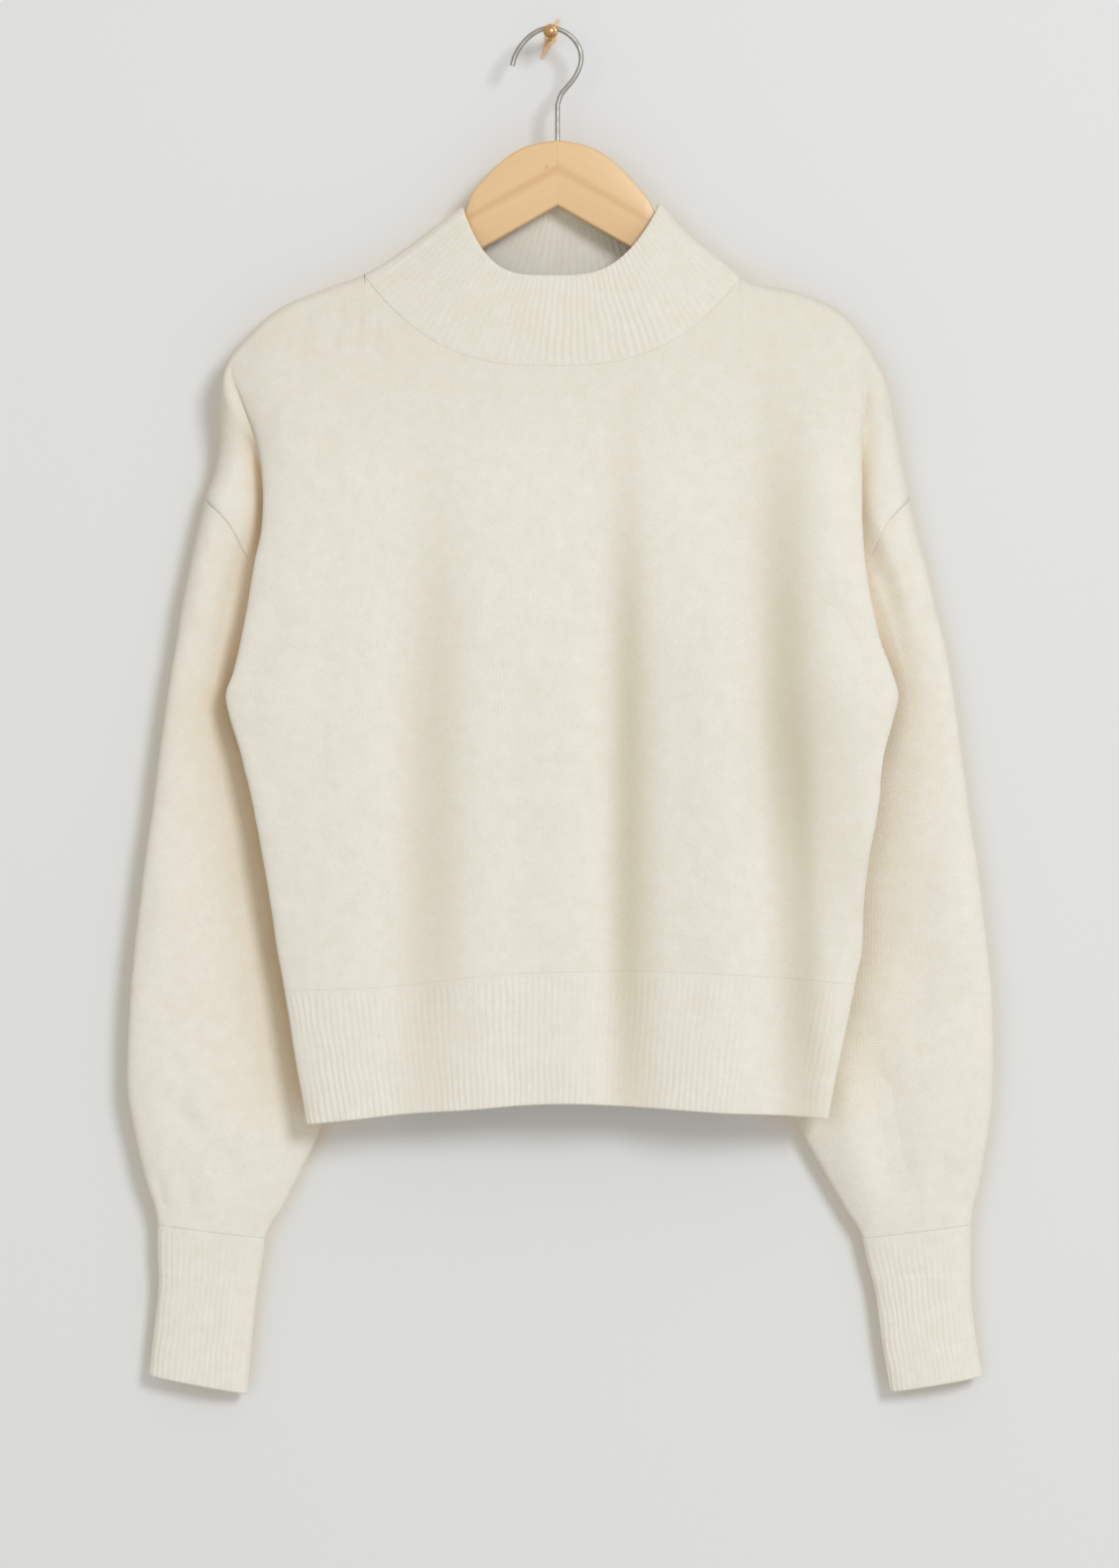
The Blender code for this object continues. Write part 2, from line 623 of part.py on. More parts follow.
def neck_columns(count):
    """Body columns across the neckline, closer together towards its two corners."""
    even = np.linspace(1.0, -1.0, count + 1)
    x = NECK_X + NECK_HALF * mix(even, np.sin(np.pi / 2 * even), NECK_CROWDING)
    return mix(-1.0, 1.0, (x - BREAK_LEFT) / (BREAK_RIGHT - BREAK_LEFT))


def panel_columns(count):
    half = np.array(SIDE_COLUMNS + SHOULDER_COLUMNS)
    return np.concatenate([half, neck_columns(count), -half[::-1]])


def even_columns(surface, v, first, last, count):
    """Columns evenly spaced along one row of a surface."""
    fine = np.linspace(first, last, LINE_SAMPLES)
    steps = np.linalg.norm(np.diff(surface(fine, np.full_like(fine, v)), axis=0), axis=1)
    length = np.concatenate([[0.0], np.cumsum(steps)])
    return np.interp(np.linspace(0.0, length[-1], count + 1), length, fine)


def over_ridge(x, run, front):
    """A point of the collar: run is the way over the ridge line, to the front or to the back."""
    depth = front_depth(run) if front else back_depth(run)
    return np.stack([x, depth, top_line(x) - drop_over(run)], -1)


def collar_edge(front, at_rim):
    """Points along half of the collar's seam or rim, from the left ridge to the right ridge."""
    middle, half = (RIM_X, RIM_HALF) if at_rim else (NECK_X, NECK_HALF)
    x = middle - half * np.cos(np.linspace(0.0, np.pi, EDGE_SAMPLES))
    if at_rim:
        z = rim_z(x) if front else back_rim_z(x)
    else:
        z = neck_z(x) if front else back_neck_z(x)
    run = run_over(top_line(x) - z)
    run[[0, -1]] = 0.0
    steps = np.linalg.norm(np.diff(over_ridge(x, run, front), axis=0), axis=1)
    share = np.concatenate([[0.0], np.cumsum(steps)])
    return share / share[-1], x, run


def collar_grid(front_shares, back_shares, rows):
    """The collar from the neck seam to its rim, round the front and then round the back."""
    halves = []
    for front, shares in ((True, front_shares), (False, 1 - back_shares)):
        seam_share, seam_x, seam_run = collar_edge(front, False)
        rim_share, rim_x, rim_run = collar_edge(front, True)
        low_x = np.interp(shares, seam_share, seam_x)
        low_run = np.interp(shares, seam_share, seam_run)
        high_x = np.interp(shares, rim_share, rim_x)
        high_run = np.interp(shares, rim_share, rim_run)
        up = rows[:, None]
        halves.append(over_ridge(mix(low_x, high_x, up), mix(low_run, high_run, up), front))
    return np.concatenate(halves, axis=1)


class Cloth:
    """One knitted piece: a grid of points on its outer face, with (x, depth, z) for each."""

    def __init__(self, name, grid, closed, wall, outward, inner_step=(2, 2), ribs=False):
        self.name = name
        self.grid = grid
        self.closed = closed
        self.wall = wall
        self.outward = outward
        self.inner_step = inner_step
        self.ribs = ribs
        self.slopes = self.find_slopes()

    def find_slopes(self):
        """Unit vectors square to the cloth, pointing out."""
        down = np.gradient(self.grid, axis=0)
        if self.closed:
            across = (np.roll(self.grid, -1, 1) - np.roll(self.grid, 1, 1)) / 2
        else:
            across = np.gradient(self.grid, axis=1)
        square = np.cross(down, across) * self.outward
        return square / np.linalg.norm(square, axis=-1, keepdims=True)

    def border(self):
        """Index pairs of the points along the piece's edges."""
        rows, columns = self.grid.shape[:2]
        mask = np.zeros((rows, columns), bool)
        mask[[0, -1], :] = True
        if not self.closed:
            mask[:, [0, -1]] = True
        return np.nonzero(mask)

    def pull_back(self, gap):
        """Moves every edge in by half a seam gap."""
        grid = self.grid.copy()
        for here, near in ((0, 1), (-1, -2)):
            self.pull_line(grid, (here, slice(None)), (near, slice(None)), gap)
            if not self.closed:
                self.pull_line(grid, (slice(None), here), (slice(None), near), gap)
        self.grid = grid

    def pull_line(self, grid, edge, inside, gap):
        toward = self.grid[inside] - self.grid[edge]
        length = np.linalg.norm(toward, axis=-1, keepdims=True)
        grid[edge] = grid[edge] + toward / length * gap / 2


def share_slopes(pieces):
    """Gives pieces the same slope where they meet, so that their rims are cut square together."""
    edges = [(piece, piece.border()) for piece in pieces]
    shared = []
    for piece, places in edges:
        points = piece.grid[places]
        total = np.zeros(points.shape)
        for other, other_places in edges:
            gaps = np.linalg.norm(points[:, None] - other.grid[other_places][None], axis=-1)
            weights = np.exp(-((gaps / SEAM_BLEND) ** 2))
            weights[gaps > SEAM_REACH] = 0.0
            nearby = weights @ other.slopes[other_places]
            total += nearby / np.maximum(weights.sum(axis=1), 0.001)[:, None]
        shared.append(total / np.linalg.norm(total, axis=-1, keepdims=True))
    for (piece, places), slopes in zip(edges, shared):
        piece.slopes[places] = slopes


def every(count, step, closed):
    """Every step-th index of a line of points, with both ends of an open line."""
    picked = list(range(0, count, step))
    if not closed and picked[-1] != count - 1:
        picked.append(count - 1)
    return picked


def sparse_columns(line):
    """Indices of the points of a line that lie far from the next, where a fold needs them all."""
    steps = np.linalg.norm(np.diff(line, axis=0), axis=1)
    return [k for k, step in enumerate(steps) if step > INNER_REACH]


def strip(mesh, first, second, first_at, second_at):
    """Triangles between two lines of vertices with different spacing."""
    i = j = 0
    while i < len(first) - 1 or j < len(second) - 1:
        go_first = j == len(second) - 1
        if not go_first and i < len(first) - 1:
            go_first = first_at[i + 1] <= second_at[j + 1]
        if go_first:
            mesh.faces.new((first[i], first[i + 1], second[j]))
            i += 1
        else:
            mesh.faces.new((first[i], second[j + 1], second[j]))
            j += 1


def scene_point(point):
    """From (x, depth in front of the wall, z) in millimetres to the scene's metres."""
    return (point[0] * MM, -point[1] * MM, point[2] * MM)


def sheet_faces(mesh, vertices, closed):
    """Quads over a grid of vertices."""
    columns = len(vertices[0])
    for upper, lower in zip(vertices, vertices[1:]):
        for k in range(columns if closed else columns - 1):
            after = (k + 1) % columns
            mesh.faces.new((upper[k], upper[after], lower[after], lower[k]))


def build_wall(piece, material, parts):
    """The piece as one closed wall, with its outer points raised into ribs if it has them."""
    rows, columns = piece.grid.shape[:2]
    rise = np.zeros(columns)
    if piece.ribs:
        rise[1::2] = RIB_RISE
    outer_points = piece.grid + piece.slopes * rise[None, :, None]
    inner_points = piece.grid - piece.slopes * piece.wall
    kept_rows = every(rows, piece.inner_step[0], False)
    kept_columns = every(columns, piece.inner_step[1], piece.closed)
    if not (piece.closed or piece.ribs):
        kept_columns = sorted({*kept_columns, *sparse_columns(piece.grid[rows // 2])})
    mesh = bmesh.new()
    outer = [[mesh.verts.new(scene_point(p)) for p in line] for line in outer_points]
    inner = [
        [mesh.verts.new(scene_point(inner_points[i, k])) for k in kept_columns]
        for i in kept_rows
    ]
    sheet_faces(mesh, outer, piece.closed)
    sheet_faces(mesh, inner, piece.closed)
    round_at, inner_round_at = list(range(columns)), list(kept_columns)
    for here in (0, -1):
        first, second = list(outer[here]), list(inner[here])
        if piece.closed:
            first.append(first[0])
            second.append(second[0])
        ends = (round_at + [columns], inner_round_at + [columns])
        strip(mesh, first, second, *(ends if piece.closed else (round_at, inner_round_at)))
        if not piece.closed:
            first = [line[here] for line in outer]
            second = [line[here] for line in inner]
            strip(mesh, first, second, list(range(rows)), kept_rows)
    bmesh.ops.recalc_face_normals(mesh, faces=mesh.faces)
    return finish_mesh(piece.name, mesh, material, parts)


def finish_mesh(name, mesh, material, parts):
    """Turns a bmesh into a smooth-shaded object of the part."""
    data = bpy.data.meshes.new(name)
    mesh.to_mesh(data)
    mesh.free()
    data.shade_smooth()
    data.set_sharp_from_angle(angle=math.radians(SHARP_ANGLE))
    data.materials.append(material)
    made = bpy.data.objects.new(name, data)
    parts.objects.link(made)
    return made


def cloth_pieces():
    """Every knitted piece, as grids that share their seams."""
    rows = np.array(PANEL_ROWS)[:, None]
    hem_rows = np.linspace(1.0, 2.0, HEM_ROWS + 1)[:, None]
    pieces = [
        Cloth("front_panel", front_surface(panel_columns(NECK_COLUMNS)[None], rows),
              False, PANEL_WALL, 1),
        Cloth("back_panel", back_surface(panel_columns(NECK_COLUMNS)[None], rows),
              False, PANEL_WALL, -1),
    ]
    for name, surface, outward in (
        ("front_hem_rib", front_surface, 1),
        ("back_hem_rib", back_surface, -1),
    ):
        c = even_columns(surface, RIB_MIDDLE, 2.0, -2.0, 2 * HEM_RIBS)
        pieces.append(
            Cloth(name, surface(c[None], hem_rows), False, RIB_WALL, outward, (1, 4), True)
        )
    sleeve_rows = np.linspace(0.0, 1.0, SLEEVE_ROWS + 1) ** SLEEVE_ROW_CROWDING
    cuff_rows = np.linspace(1.0 + CUFF_START, 2.0, CUFF_ROWS + 1)
    for side, table in (("left", LEFT_SLEEVE), ("right", RIGHT_SLEEVE)):
        outward = SIDES[side]
        around, down = np.meshgrid(sleeve_columns(side), sleeve_rows)
        pieces.append(
            Cloth(side + "_sleeve", sleeve_surface(table, side, around, down),
                  True, PANEL_WALL, outward)
        )

        def ring(around, v):
            return sleeve_surface(table, side, around, v)

        even = even_columns(ring, RIB_MIDDLE, 0.0, 2.0, 2 * CUFF_RIBS)[:-1]
        around, down = np.meshgrid(even, cuff_rows)
        pieces.append(
            Cloth(side + "_cuff", ring(around, down), True, RIB_WALL, outward, (1, 4), True)
        )
    front_shares = np.arange(2 * COLLAR_FRONT_RIBS) / (2 * COLLAR_FRONT_RIBS)
    back_shares = np.arange(2 * COLLAR_BACK_RIBS) / (2 * COLLAR_BACK_RIBS)
    collar = collar_grid(front_shares, back_shares, np.linspace(COLLAR_START, 1.0, COLLAR_ROWS + 1))
    pieces.append(Cloth("collar", collar, True, RIB_WALL, 1, (1, 4), True))
    for piece in pieces:
        piece.pull_back(SEAM_GAP)
    share_slopes(pieces)
    return pieces


def principled(name, colour, roughness, metallic=0.0):
    """A plain Principled material."""
    material = bpy.data.materials.new(name)
    material.use_nodes = True
    shader = material.node_tree.nodes["Principled BSDF"]
    shader.inputs["Base Color"].default_value = (*colour, 1.0)
    shader.inputs["Roughness"].default_value = roughness
    shader.inputs["Metallic"].default_value = metallic
    material.diffuse_color = (*colour, 1.0)
    return material


def smooth_line(points, count):
    """Evenly counted points on a smooth curve through a few points."""
    points = np.array(points, float)
    table = [("at", "x", "z")] + [(k, *p) for k, p in enumerate(points)]
    at = np.linspace(0, len(points) - 1, count)
    return np.stack([curve(table, "x")(at), curve(table, "z")(at)], -1)


def hanger_arm(side, material, parts):
    """Half of the wooden hanger: upright sections along the arm, from the glued mitre to the tip."""
    sign = SIDES[side]
    outline = curves(HANGER_OUTLINE)
    angles = np.linspace(0.0, 2 * np.pi, HANGER_SIDES, endpoint=False)
    shape = 2 / HANGER_SQUARENESS
    across = np.sign(np.cos(angles)) * np.abs(np.cos(angles)) ** shape
    upright = np.sign(np.sin(angles)) * np.abs(np.sin(angles)) ** shape
    straight_end = HANGER_LENGTH - HANGER_TIP
    tip = straight_end + HANGER_TIP * np.sin(np.linspace(0.0, HANGER_TIP_TURN, HANGER_TIP_RINGS))
    mesh = bmesh.new()
    rings = []
    corner = abs(RIM_X + sign * RIM_HALF - HANGER_X)
    for reach in np.concatenate([HANGER_STATIONS, tip]):
        x = HANGER_X + sign * reach
        slope = top_line(x + 1.0) - top_line(x)
        under_cloth = top_line(x) - HANGER_UNDER_CLOTH * math.hypot(1.0, slope)
        hidden = ease((reach - corner) / HANGER_SINK + 1.0)
        top = mix(outline["top"](reach), under_cloth, hidden)
        low = outline["low"](reach)
        past = max((reach - straight_end) / HANGER_TIP, 0.0)
        closing = math.sqrt(1 - past**2)
        middle, half = (top + low) / 2, (top - low) / 2 * closing
        thinner = 1 - HANGER_THINNING * reach / HANGER_LENGTH
        thick = HANGER_HALF_THICK * thinner * mix(1.0, closing, HANGER_TIP_THINNING)
        rings.append([
            mesh.verts.new(scene_point((x, RIDGE_DEPTH + thick * a, middle + half * u)))
            for a, u in zip(across, upright)
        ])
    sheet_faces(mesh, rings, True)
    mesh.faces.new(rings[0])
    mesh.faces.new(rings[-1])
    bmesh.ops.recalc_face_normals(mesh, faces=mesh.faces)
    return finish_mesh("hanger_" + side + "_arm", mesh, material, parts)


def wire_path():
    """The steel hook: the crook over the peg, then the stem down into the wood."""
    angles = np.radians(np.linspace(WIRE_START_ANGLE, WIRE_END_ANGLE, WIRE_CROOK_POINTS))
    crook = np.stack(
        [WIRE_CENTRE[0] + WIRE_BEND * np.cos(angles), WIRE_CENTRE[1] + WIRE_BEND * np.sin(angles)],
        -1,
    )
    end = crook[-1]
    (back_x, back_z), (near_x, near_z), (low_x, low_z) = WIRE_TURN
    turn = smooth_line(
        [end, (end[0] + back_x, end[1] + back_z), (HANGER_X + near_x, WIRE_STEM_TOP + near_z),
         (HANGER_X + low_x, WIRE_STEM_TOP + low_z)], WIRE_TURN_POINTS
    )
    stem_z = np.linspace(WIRE_STEM_TOP - WIRE_STEM_SINK, WIRE_FOOT, WIRE_STEM_POINTS)
    stem = [(HANGER_X, z) for z in stem_z]
    return np.concatenate([crook, turn[1:], np.array(stem)])


def tube(name, points, radius, material, parts):
    """A round wire along a list of (x, depth, z)."""
    data = bpy.data.curves.new(name, "CURVE")
    data.dimensions = "3D"
    data.bevel_depth = radius * MM
    data.bevel_resolution = 2
    data.use_fill_caps = True
    line = data.splines.new("POLY")
    line.points.add(len(points) - 1)
    for target, point in zip(line.points, points):
        target.co = (*scene_point(point), 1.0)
    data.materials.append(material)
    made = bpy.data.objects.new(name, data)
    parts.objects.link(made)
    return made


def cut(target, cutter):
    """Cuts one object out of another."""
    modifier = target.modifiers.new("cut", "BOOLEAN")
    modifier.operation = "DIFFERENCE"
    modifier.object = cutter


def upright_cylinder(name, radius, foot, top, place, collection):
    """A cylinder along Z at (x, depth)."""
    mesh = bmesh.new()
    bmesh.ops.create_cone(
        mesh, cap_ends=True, segments=HOLE_SEGMENTS, radius1=radius * MM, radius2=radius * MM,
        depth=(top - foot) * MM,
    )
    data = bpy.data.meshes.new(name)
    mesh.to_mesh(data)
    mesh.free()
    made = bpy.data.objects.new(name, data)
    made.location = scene_point((place[0], place[1], (foot + top) / 2))
    collection.objects.link(made)
    return made


def wall_peg(material, parts):
    """Peg and knob in one turned piece, square off the wall: a shallow cup round a ball."""
    profile = [(0.0, PLATE_THICK + PEG_CLEARANCE), (PEG_RADIUS, PLATE_THICK + PEG_CLEARANCE)]
    profile.append((PEG_RADIUS, PEG_LENGTH))
    profile += [(radius, PEG_LENGTH + rise) for radius, rise in KNOB_CUP]
    for angle in np.linspace(0.0, math.pi / 2, KNOB_BALL_POINTS)[1:]:
        along = PEG_LENGTH + KNOB_BALL_RISE + KNOB_BALL_RADIUS * math.sin(angle)
        profile.append((KNOB_BALL_RADIUS * math.cos(angle), along))
    profile[-1] = (0.0, profile[-1][1])
    mesh = bmesh.new()
    line = [mesh.verts.new((radius * MM, 0.0, along * MM)) for radius, along in profile]
    for a, b in zip(line, line[1:]):
        mesh.edges.new((a, b))
    bmesh.ops.spin(
        mesh, geom=list(mesh.verts) + list(mesh.edges), cent=(0, 0, 0), axis=(0, 0, 1),
        angle=2 * math.pi, steps=PEG_SEGMENTS, use_merge=True,
    )
    bmesh.ops.remove_doubles(mesh, verts=mesh.verts, dist=MERGE_WITHIN)
    bmesh.ops.recalc_face_normals(mesh, faces=mesh.faces)
    made = finish_mesh("wall_hook_peg", mesh, material, parts)
    made.rotation_euler = (math.radians(90), 0.0, 0.0)
    made.location = (PEG_X * MM, 0.0, PEG_Z * MM)
    return made


def wall_plate(material, parts):
    """The plate against the wall: a thin leaf, tilted a little, round a boss at the peg."""
    data = bpy.data.curves.new("wall_hook_plate", "CURVE")
    data.dimensions = "2D"
    data.fill_mode = "BOTH"
    data.extrude = PLATE_THICK / 2 * MM
    outline = []
    for angle in np.linspace(0.0, 2 * np.pi, PLATE_POINTS, endpoint=False):
        upright = math.sin(angle)
        height = PLATE_HALF_HEIGHT * upright
        leaf = PLATE_HALF_WIDTH * abs(math.cos(angle)) * (1 - PLATE_TAPER * abs(upright))
        boss = math.sqrt(max(PLATE_BOSS_RADIUS**2 - height**2, 0.0))
        outline.append((math.copysign(max(leaf, boss), math.cos(angle)), height))
    line = data.splines.new("POLY")
    line.points.add(len(outline) - 1)
    line.use_cyclic_u = True
    for target, (x, z) in zip(line.points, outline):
        target.co = (x * MM, z * MM, 0.0, 1.0)
    data.materials.append(material)
    made = bpy.data.objects.new("wall_hook_plate", data)
    made.rotation_euler = (math.radians(90), math.radians(-PLATE_TILT), 0.0)
    made.location = (0.0, -PLATE_THICK / 2 * MM, 0.0)
    parts.objects.link(made)
    return made


def main():
    for leftover in list(bpy.data.objects):
        bpy.data.objects.remove(leftover)
    parts = bpy.data.collections.new("mock_neck_sweater_on_hanger")
    cutters = bpy.data.collections.new("cutters")
    for collection in (parts, cutters):
        bpy.context.scene.collection.children.link(collection)
    wool = principled("cream_wool", (0.79, 0.75, 0.66), 0.95)
    pine = principled("pale_wood", (0.78, 0.55, 0.33), 0.5)
    steel = principled("steel_wire", (0.6, 0.6, 0.6), 0.3, 1.0)
    brass = principled("brass", (0.72, 0.52, 0.24), 0.3, 1.0)
    for piece in cloth_pieces():
        build_wall(piece, wool, parts)
    socket = upright_cylinder(
        "hook_hole", WIRE_HOLE_RADIUS, WIRE_HOLE_FOOT, WIRE_HOLE_TOP, (HANGER_X, RIDGE_DEPTH),
        cutters,
    )
    socket.hide_render = True
    socket.display_type = "WIRE"
    for side in SIDES:
        cut(hanger_arm(side, pine, parts), socket)
    wire = [(x, RIDGE_DEPTH, z) for x, z in wire_path()]
    tube("hanger_hook", wire, WIRE_RADIUS, steel, parts)
    wall_peg(brass, parts)
    wall_plate(brass, parts)


main()
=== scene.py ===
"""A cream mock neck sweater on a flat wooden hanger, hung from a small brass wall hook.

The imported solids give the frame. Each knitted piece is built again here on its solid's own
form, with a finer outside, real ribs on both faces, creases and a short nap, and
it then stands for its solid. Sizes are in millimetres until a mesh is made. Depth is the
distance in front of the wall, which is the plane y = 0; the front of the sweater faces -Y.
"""

import json
import logging
import math
from dataclasses import dataclass, field
from enum import Enum
from functools import partial
from typing import Any, Callable

import bmesh
import bpy
import numpy as np
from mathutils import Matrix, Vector

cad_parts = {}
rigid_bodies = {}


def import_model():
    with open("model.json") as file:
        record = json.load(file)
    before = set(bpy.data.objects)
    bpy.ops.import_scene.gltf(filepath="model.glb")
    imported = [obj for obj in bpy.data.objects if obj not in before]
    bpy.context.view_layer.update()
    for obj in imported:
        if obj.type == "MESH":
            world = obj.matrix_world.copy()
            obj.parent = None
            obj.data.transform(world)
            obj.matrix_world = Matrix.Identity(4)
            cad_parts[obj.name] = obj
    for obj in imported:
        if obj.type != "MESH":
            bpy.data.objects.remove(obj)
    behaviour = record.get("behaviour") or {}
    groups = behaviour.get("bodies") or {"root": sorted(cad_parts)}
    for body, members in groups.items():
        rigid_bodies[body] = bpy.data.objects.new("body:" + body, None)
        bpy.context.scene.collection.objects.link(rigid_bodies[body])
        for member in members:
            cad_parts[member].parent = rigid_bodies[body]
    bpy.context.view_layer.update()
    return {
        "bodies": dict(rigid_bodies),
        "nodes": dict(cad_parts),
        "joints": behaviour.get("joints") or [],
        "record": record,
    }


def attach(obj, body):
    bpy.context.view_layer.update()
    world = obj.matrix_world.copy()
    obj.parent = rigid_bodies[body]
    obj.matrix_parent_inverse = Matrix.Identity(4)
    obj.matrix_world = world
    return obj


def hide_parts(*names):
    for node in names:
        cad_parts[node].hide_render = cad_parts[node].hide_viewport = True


MM = 0.001
PHOTO_WIDTH, PHOTO_HEIGHT = 1128, 1580
MM_PER_PIXEL = 0.63
ORIGIN_PIXEL = (555.0, 33.0)
log = logging.getLogger("sweater")

Points = np.ndarray
Table = tuple[tuple[Any, ...], ...]

# ---- Tables of the garment's shape, in millimetres, the same as the solids' ----

TOP_LINE: Table = (
    ("x", "z"),
    (-202, -203.4),
    (-181, -181.5),
    (-143, -162.5),
    (-118, -153.2),
    (-101, -143.4),
    (-75, -124.8),
    (-56, -110.6),
    (-30, -98.0),
    (5, -92.0),
    (40, -96.5),
    (68.7, -108.6),
    (83, -124.4),
    (111, -146.5),
    (121, -155.0),
    (158, -165.5),
    (191, -184.0),
    (205, -203.4),
)
CAP_LINE: Table = (
    ("z", "left", "right"),
    (-203, -202.0, 205.0),
    (-212, -207.0, 209.5),
    (-222, -209.6, 214.0),
    (-244, -210.6, 219.5),
    (-260, -211.2, 222.5),
    (-275, -213.2, 224.8),
    (-296, -220.5, 229.0),
    (-320, -226.2, 234.6),
    (-345, -231.3, 240.4),
)
FOLD_LINE: Table = (
    ("z", "left", "right"),
    (-203, -202.0, 205.0),
    (-216, -201.5, 200.5),
    (-237, -194.0, 198.0),
    (-257, -186.5, 197.3),
    (-290, -182.0, 197.2),
    (-315, -182.6, 197.3),
    (-344, -188.4, 199.8),
    (-369, -192.0, 204.4),
    (-389, -196.0, 209.5),
    (-407, -200.8, 216.0),
    (-420, -205.2, 219.4),
    (-437, -202.2, 216.2),
    (-454, -196.8, 212.4),
    (-488, -188.3, 207.6),
    (-520, -182.4, 201.8),
    (-554, -176.4, 198.0),
    (-587, -171.6, 196.2),
    (-610, -167.6, 190.8),
    (-648, -161.4, 182.6),
    (-692, -153.7, 174.6),
)
SIDE_LINE: Table = (
    ("z", "groove_in", "groove_depth", "seam_in", "seam_depth"),
    (-203, 0.0, 26.0, 2.4, 25.0),
    (-245, 3.0, 26.0, 2.4, 25.0),
    (-275, 5.0, 25.0, 2.4, 25.0),
    (-341, 5.5, 24.0, 2.4, 25.0),
    (-365, 4.0, 26.5, 2.5, 25.0),
    (-385, 3.0, 29.0, 2.6, 25.6),
    (-408, 3.0, 32.5, 3.2, 28.0),
    (-420, 2.8, 36.0, 3.6, 31.0),
    (-440, 2.0, 39.0, 3.8, 34.5),
    (-470, 1.4, 40.0, 3.8, 35.5),
    (-610, 1.4, 41.0, 3.8, 35.0),
    (-692, 1.4, 42.0, 3.8, 36.0),
)
ARMHOLE_FRONT: Table = (
    ("z", "left", "right"),
    (-296, -220.5, 229.0),
    (-299.5, -217.2, 225.6),
    (-306, -210.2, 219.0),
    (-312, -204.8, 213.6),
    (-319, -200.2, 209.4),
    (-331, -194.0, 204.0),
    (-343, -185.5, 197.6),
)
ARMHOLE_BACK: Table = (
    ("share", "in", "down"),
    (0.0, 0.0, 0.0),
    (0.16, 12.0, 0.15),
    (0.36, 22.0, 0.38),
    (0.58, 27.0, 0.62),
    (0.78, 19.5, 0.83),
    (0.90, 11.0, 0.93),
    (1.0, 0.0, 1.0),
)
FRONT_FOLDS: Table = (
    ("x_top", "x_hem", "start_z", "half_width", "rise"),
    (-72, -74, -270, 24, -3.2),
    (58, 60, -270, 20, -5.0),
    (148, 166, -270, 18, -6.0),
    (-124, -128, -300, 26, 2.0),
    (12, 14, -290, 26, 3.6),
    (106, 112, -290, 22, 4.0),
    (184, 184, -380, 14, 1.5),
)
BACK_FOLDS: Table = (
    ("x_top", "x_hem", "start_z", "half_width", "rise"),
    (-84, -92, -300, 30, 3.0),
    (-20, -10, -340, 26, 2.2),
    (52, 46, -280, 24, 3.4),
    (118, 126, -320, 28, 2.6),
)
RIB_SEAM: Table = (
    ("x", "z"),
    (-168, -606.8),
    (-120, -605.6),
    (-80, -602.2),
    (-40, -597.4),
    (10, -594.8),
    (77, -595.2),
    (134, -598.0),
    (191, -603.0),
)
HEM_EDGE: Table = (
    ("x", "z"),
    (-154, -691.5),
    (-127, -688.6),
    (-100, -685.4),
    (-48, -681.8),
    (-18, -679.0),
    (16, -678.0),
    (63, -681.0),
    (103, -683.6),
    (152, -686.0),
    (175, -688.5),
)
LEFT_SLEEVE: Table = (
    ("station", "outer_x", "outer_z", "inner_x", "inner_z", "outer_depth", "inner_depth", "swell"),
    (0.0, -220.5, -296, -201.6, -420, 14, 31.0, 12),
    (0.1, -230.6, -342, -186, -457, 16, 15, 16),
    (0.25, -242.5, -411, -163, -509, 18, 11, 17),
    (0.4, -252.0, -480, -150, -560, 19, 11, 17),
    (0.55, -261.2, -549.6, -142, -611.6, 20, 11, 17),
    (0.7, -268.0, -618.7, -140.5, -663, 20, 11, 16),
    (0.8, -269.5, -665, -147, -697, 19, 12, 15),
    (0.88, -264.7, -701.7, -159.5, -725, 17, 12, 14),
    (0.94, -257.8, -729, -169.5, -745, 16, 13, 12),
    (1.0, -250.5, -757, -181.5, -766, 15, 13, 10),
    (1.33, -249.5, -790, -186.8, -798, 14, 13, 8.5),
    (1.66, -252.3, -822, -190.4, -832, 13, 13, 8.5),
    (2.0, -255.8, -853.7, -193.4, -865.6, 13, 13, 9),
)
RIGHT_SLEEVE: Table = (
    ("station", "outer_x", "outer_z", "inner_x", "inner_z", "outer_depth", "inner_depth", "swell"),
    (0.0, 229.0, -296, 215.8, -420, 14, 31.0, 12),
    (0.1, 240.0, -341, 201, -453, 16, 15, 16),
    (0.25, 255.2, -410, 178.5, -504, 18, 11, 17),
    (0.4, 264.6, -479, 162, -556, 19, 11, 17),
    (0.55, 274.2, -548.7, 153, -608.5, 20, 11, 17),
    (0.7, 281.4, -618, 150.5, -661, 20, 11, 16),
    (0.8, 282.0, -664.4, 159, -696, 19, 12, 15),
    (0.88, 278.6, -701.4, 174, -724, 17, 12, 14),
    (0.94, 274.2, -729, 186, -745, 16, 13, 12),
    (1.0, 268.2, -757, 198.4, -766, 15, 13, 10),
    (1.33, 267.8, -791, 206.3, -798, 14, 13, 8.5),
    (1.66, 270.2, -823, 211.2, -832, 13, 13, 8.5),
    (2.0, 275.4, -854.3, 216.7, -864.4, 13, 13, 9),
)
HANGER_OUTLINE: Table = (
    ("away", "top", "low"),
    (0.0, -68.8, -110.3),
    (10.0, -70.2, -116.0),
    (20.0, -72.8, -121.7),
    (30.0, -78.0, -127.4),
    (40.0, -86.3, -133.1),
    (50.0, -96.8, -138.8),
    (60.0, -108.8, -144.5),
    (100.0, -140.0, -166.0),
    (150.0, -164.0, -188.0),
    (193.0, -190.0, -205.0),
)

STEADY_COLUMNS = ("outer_x", "inner_x")
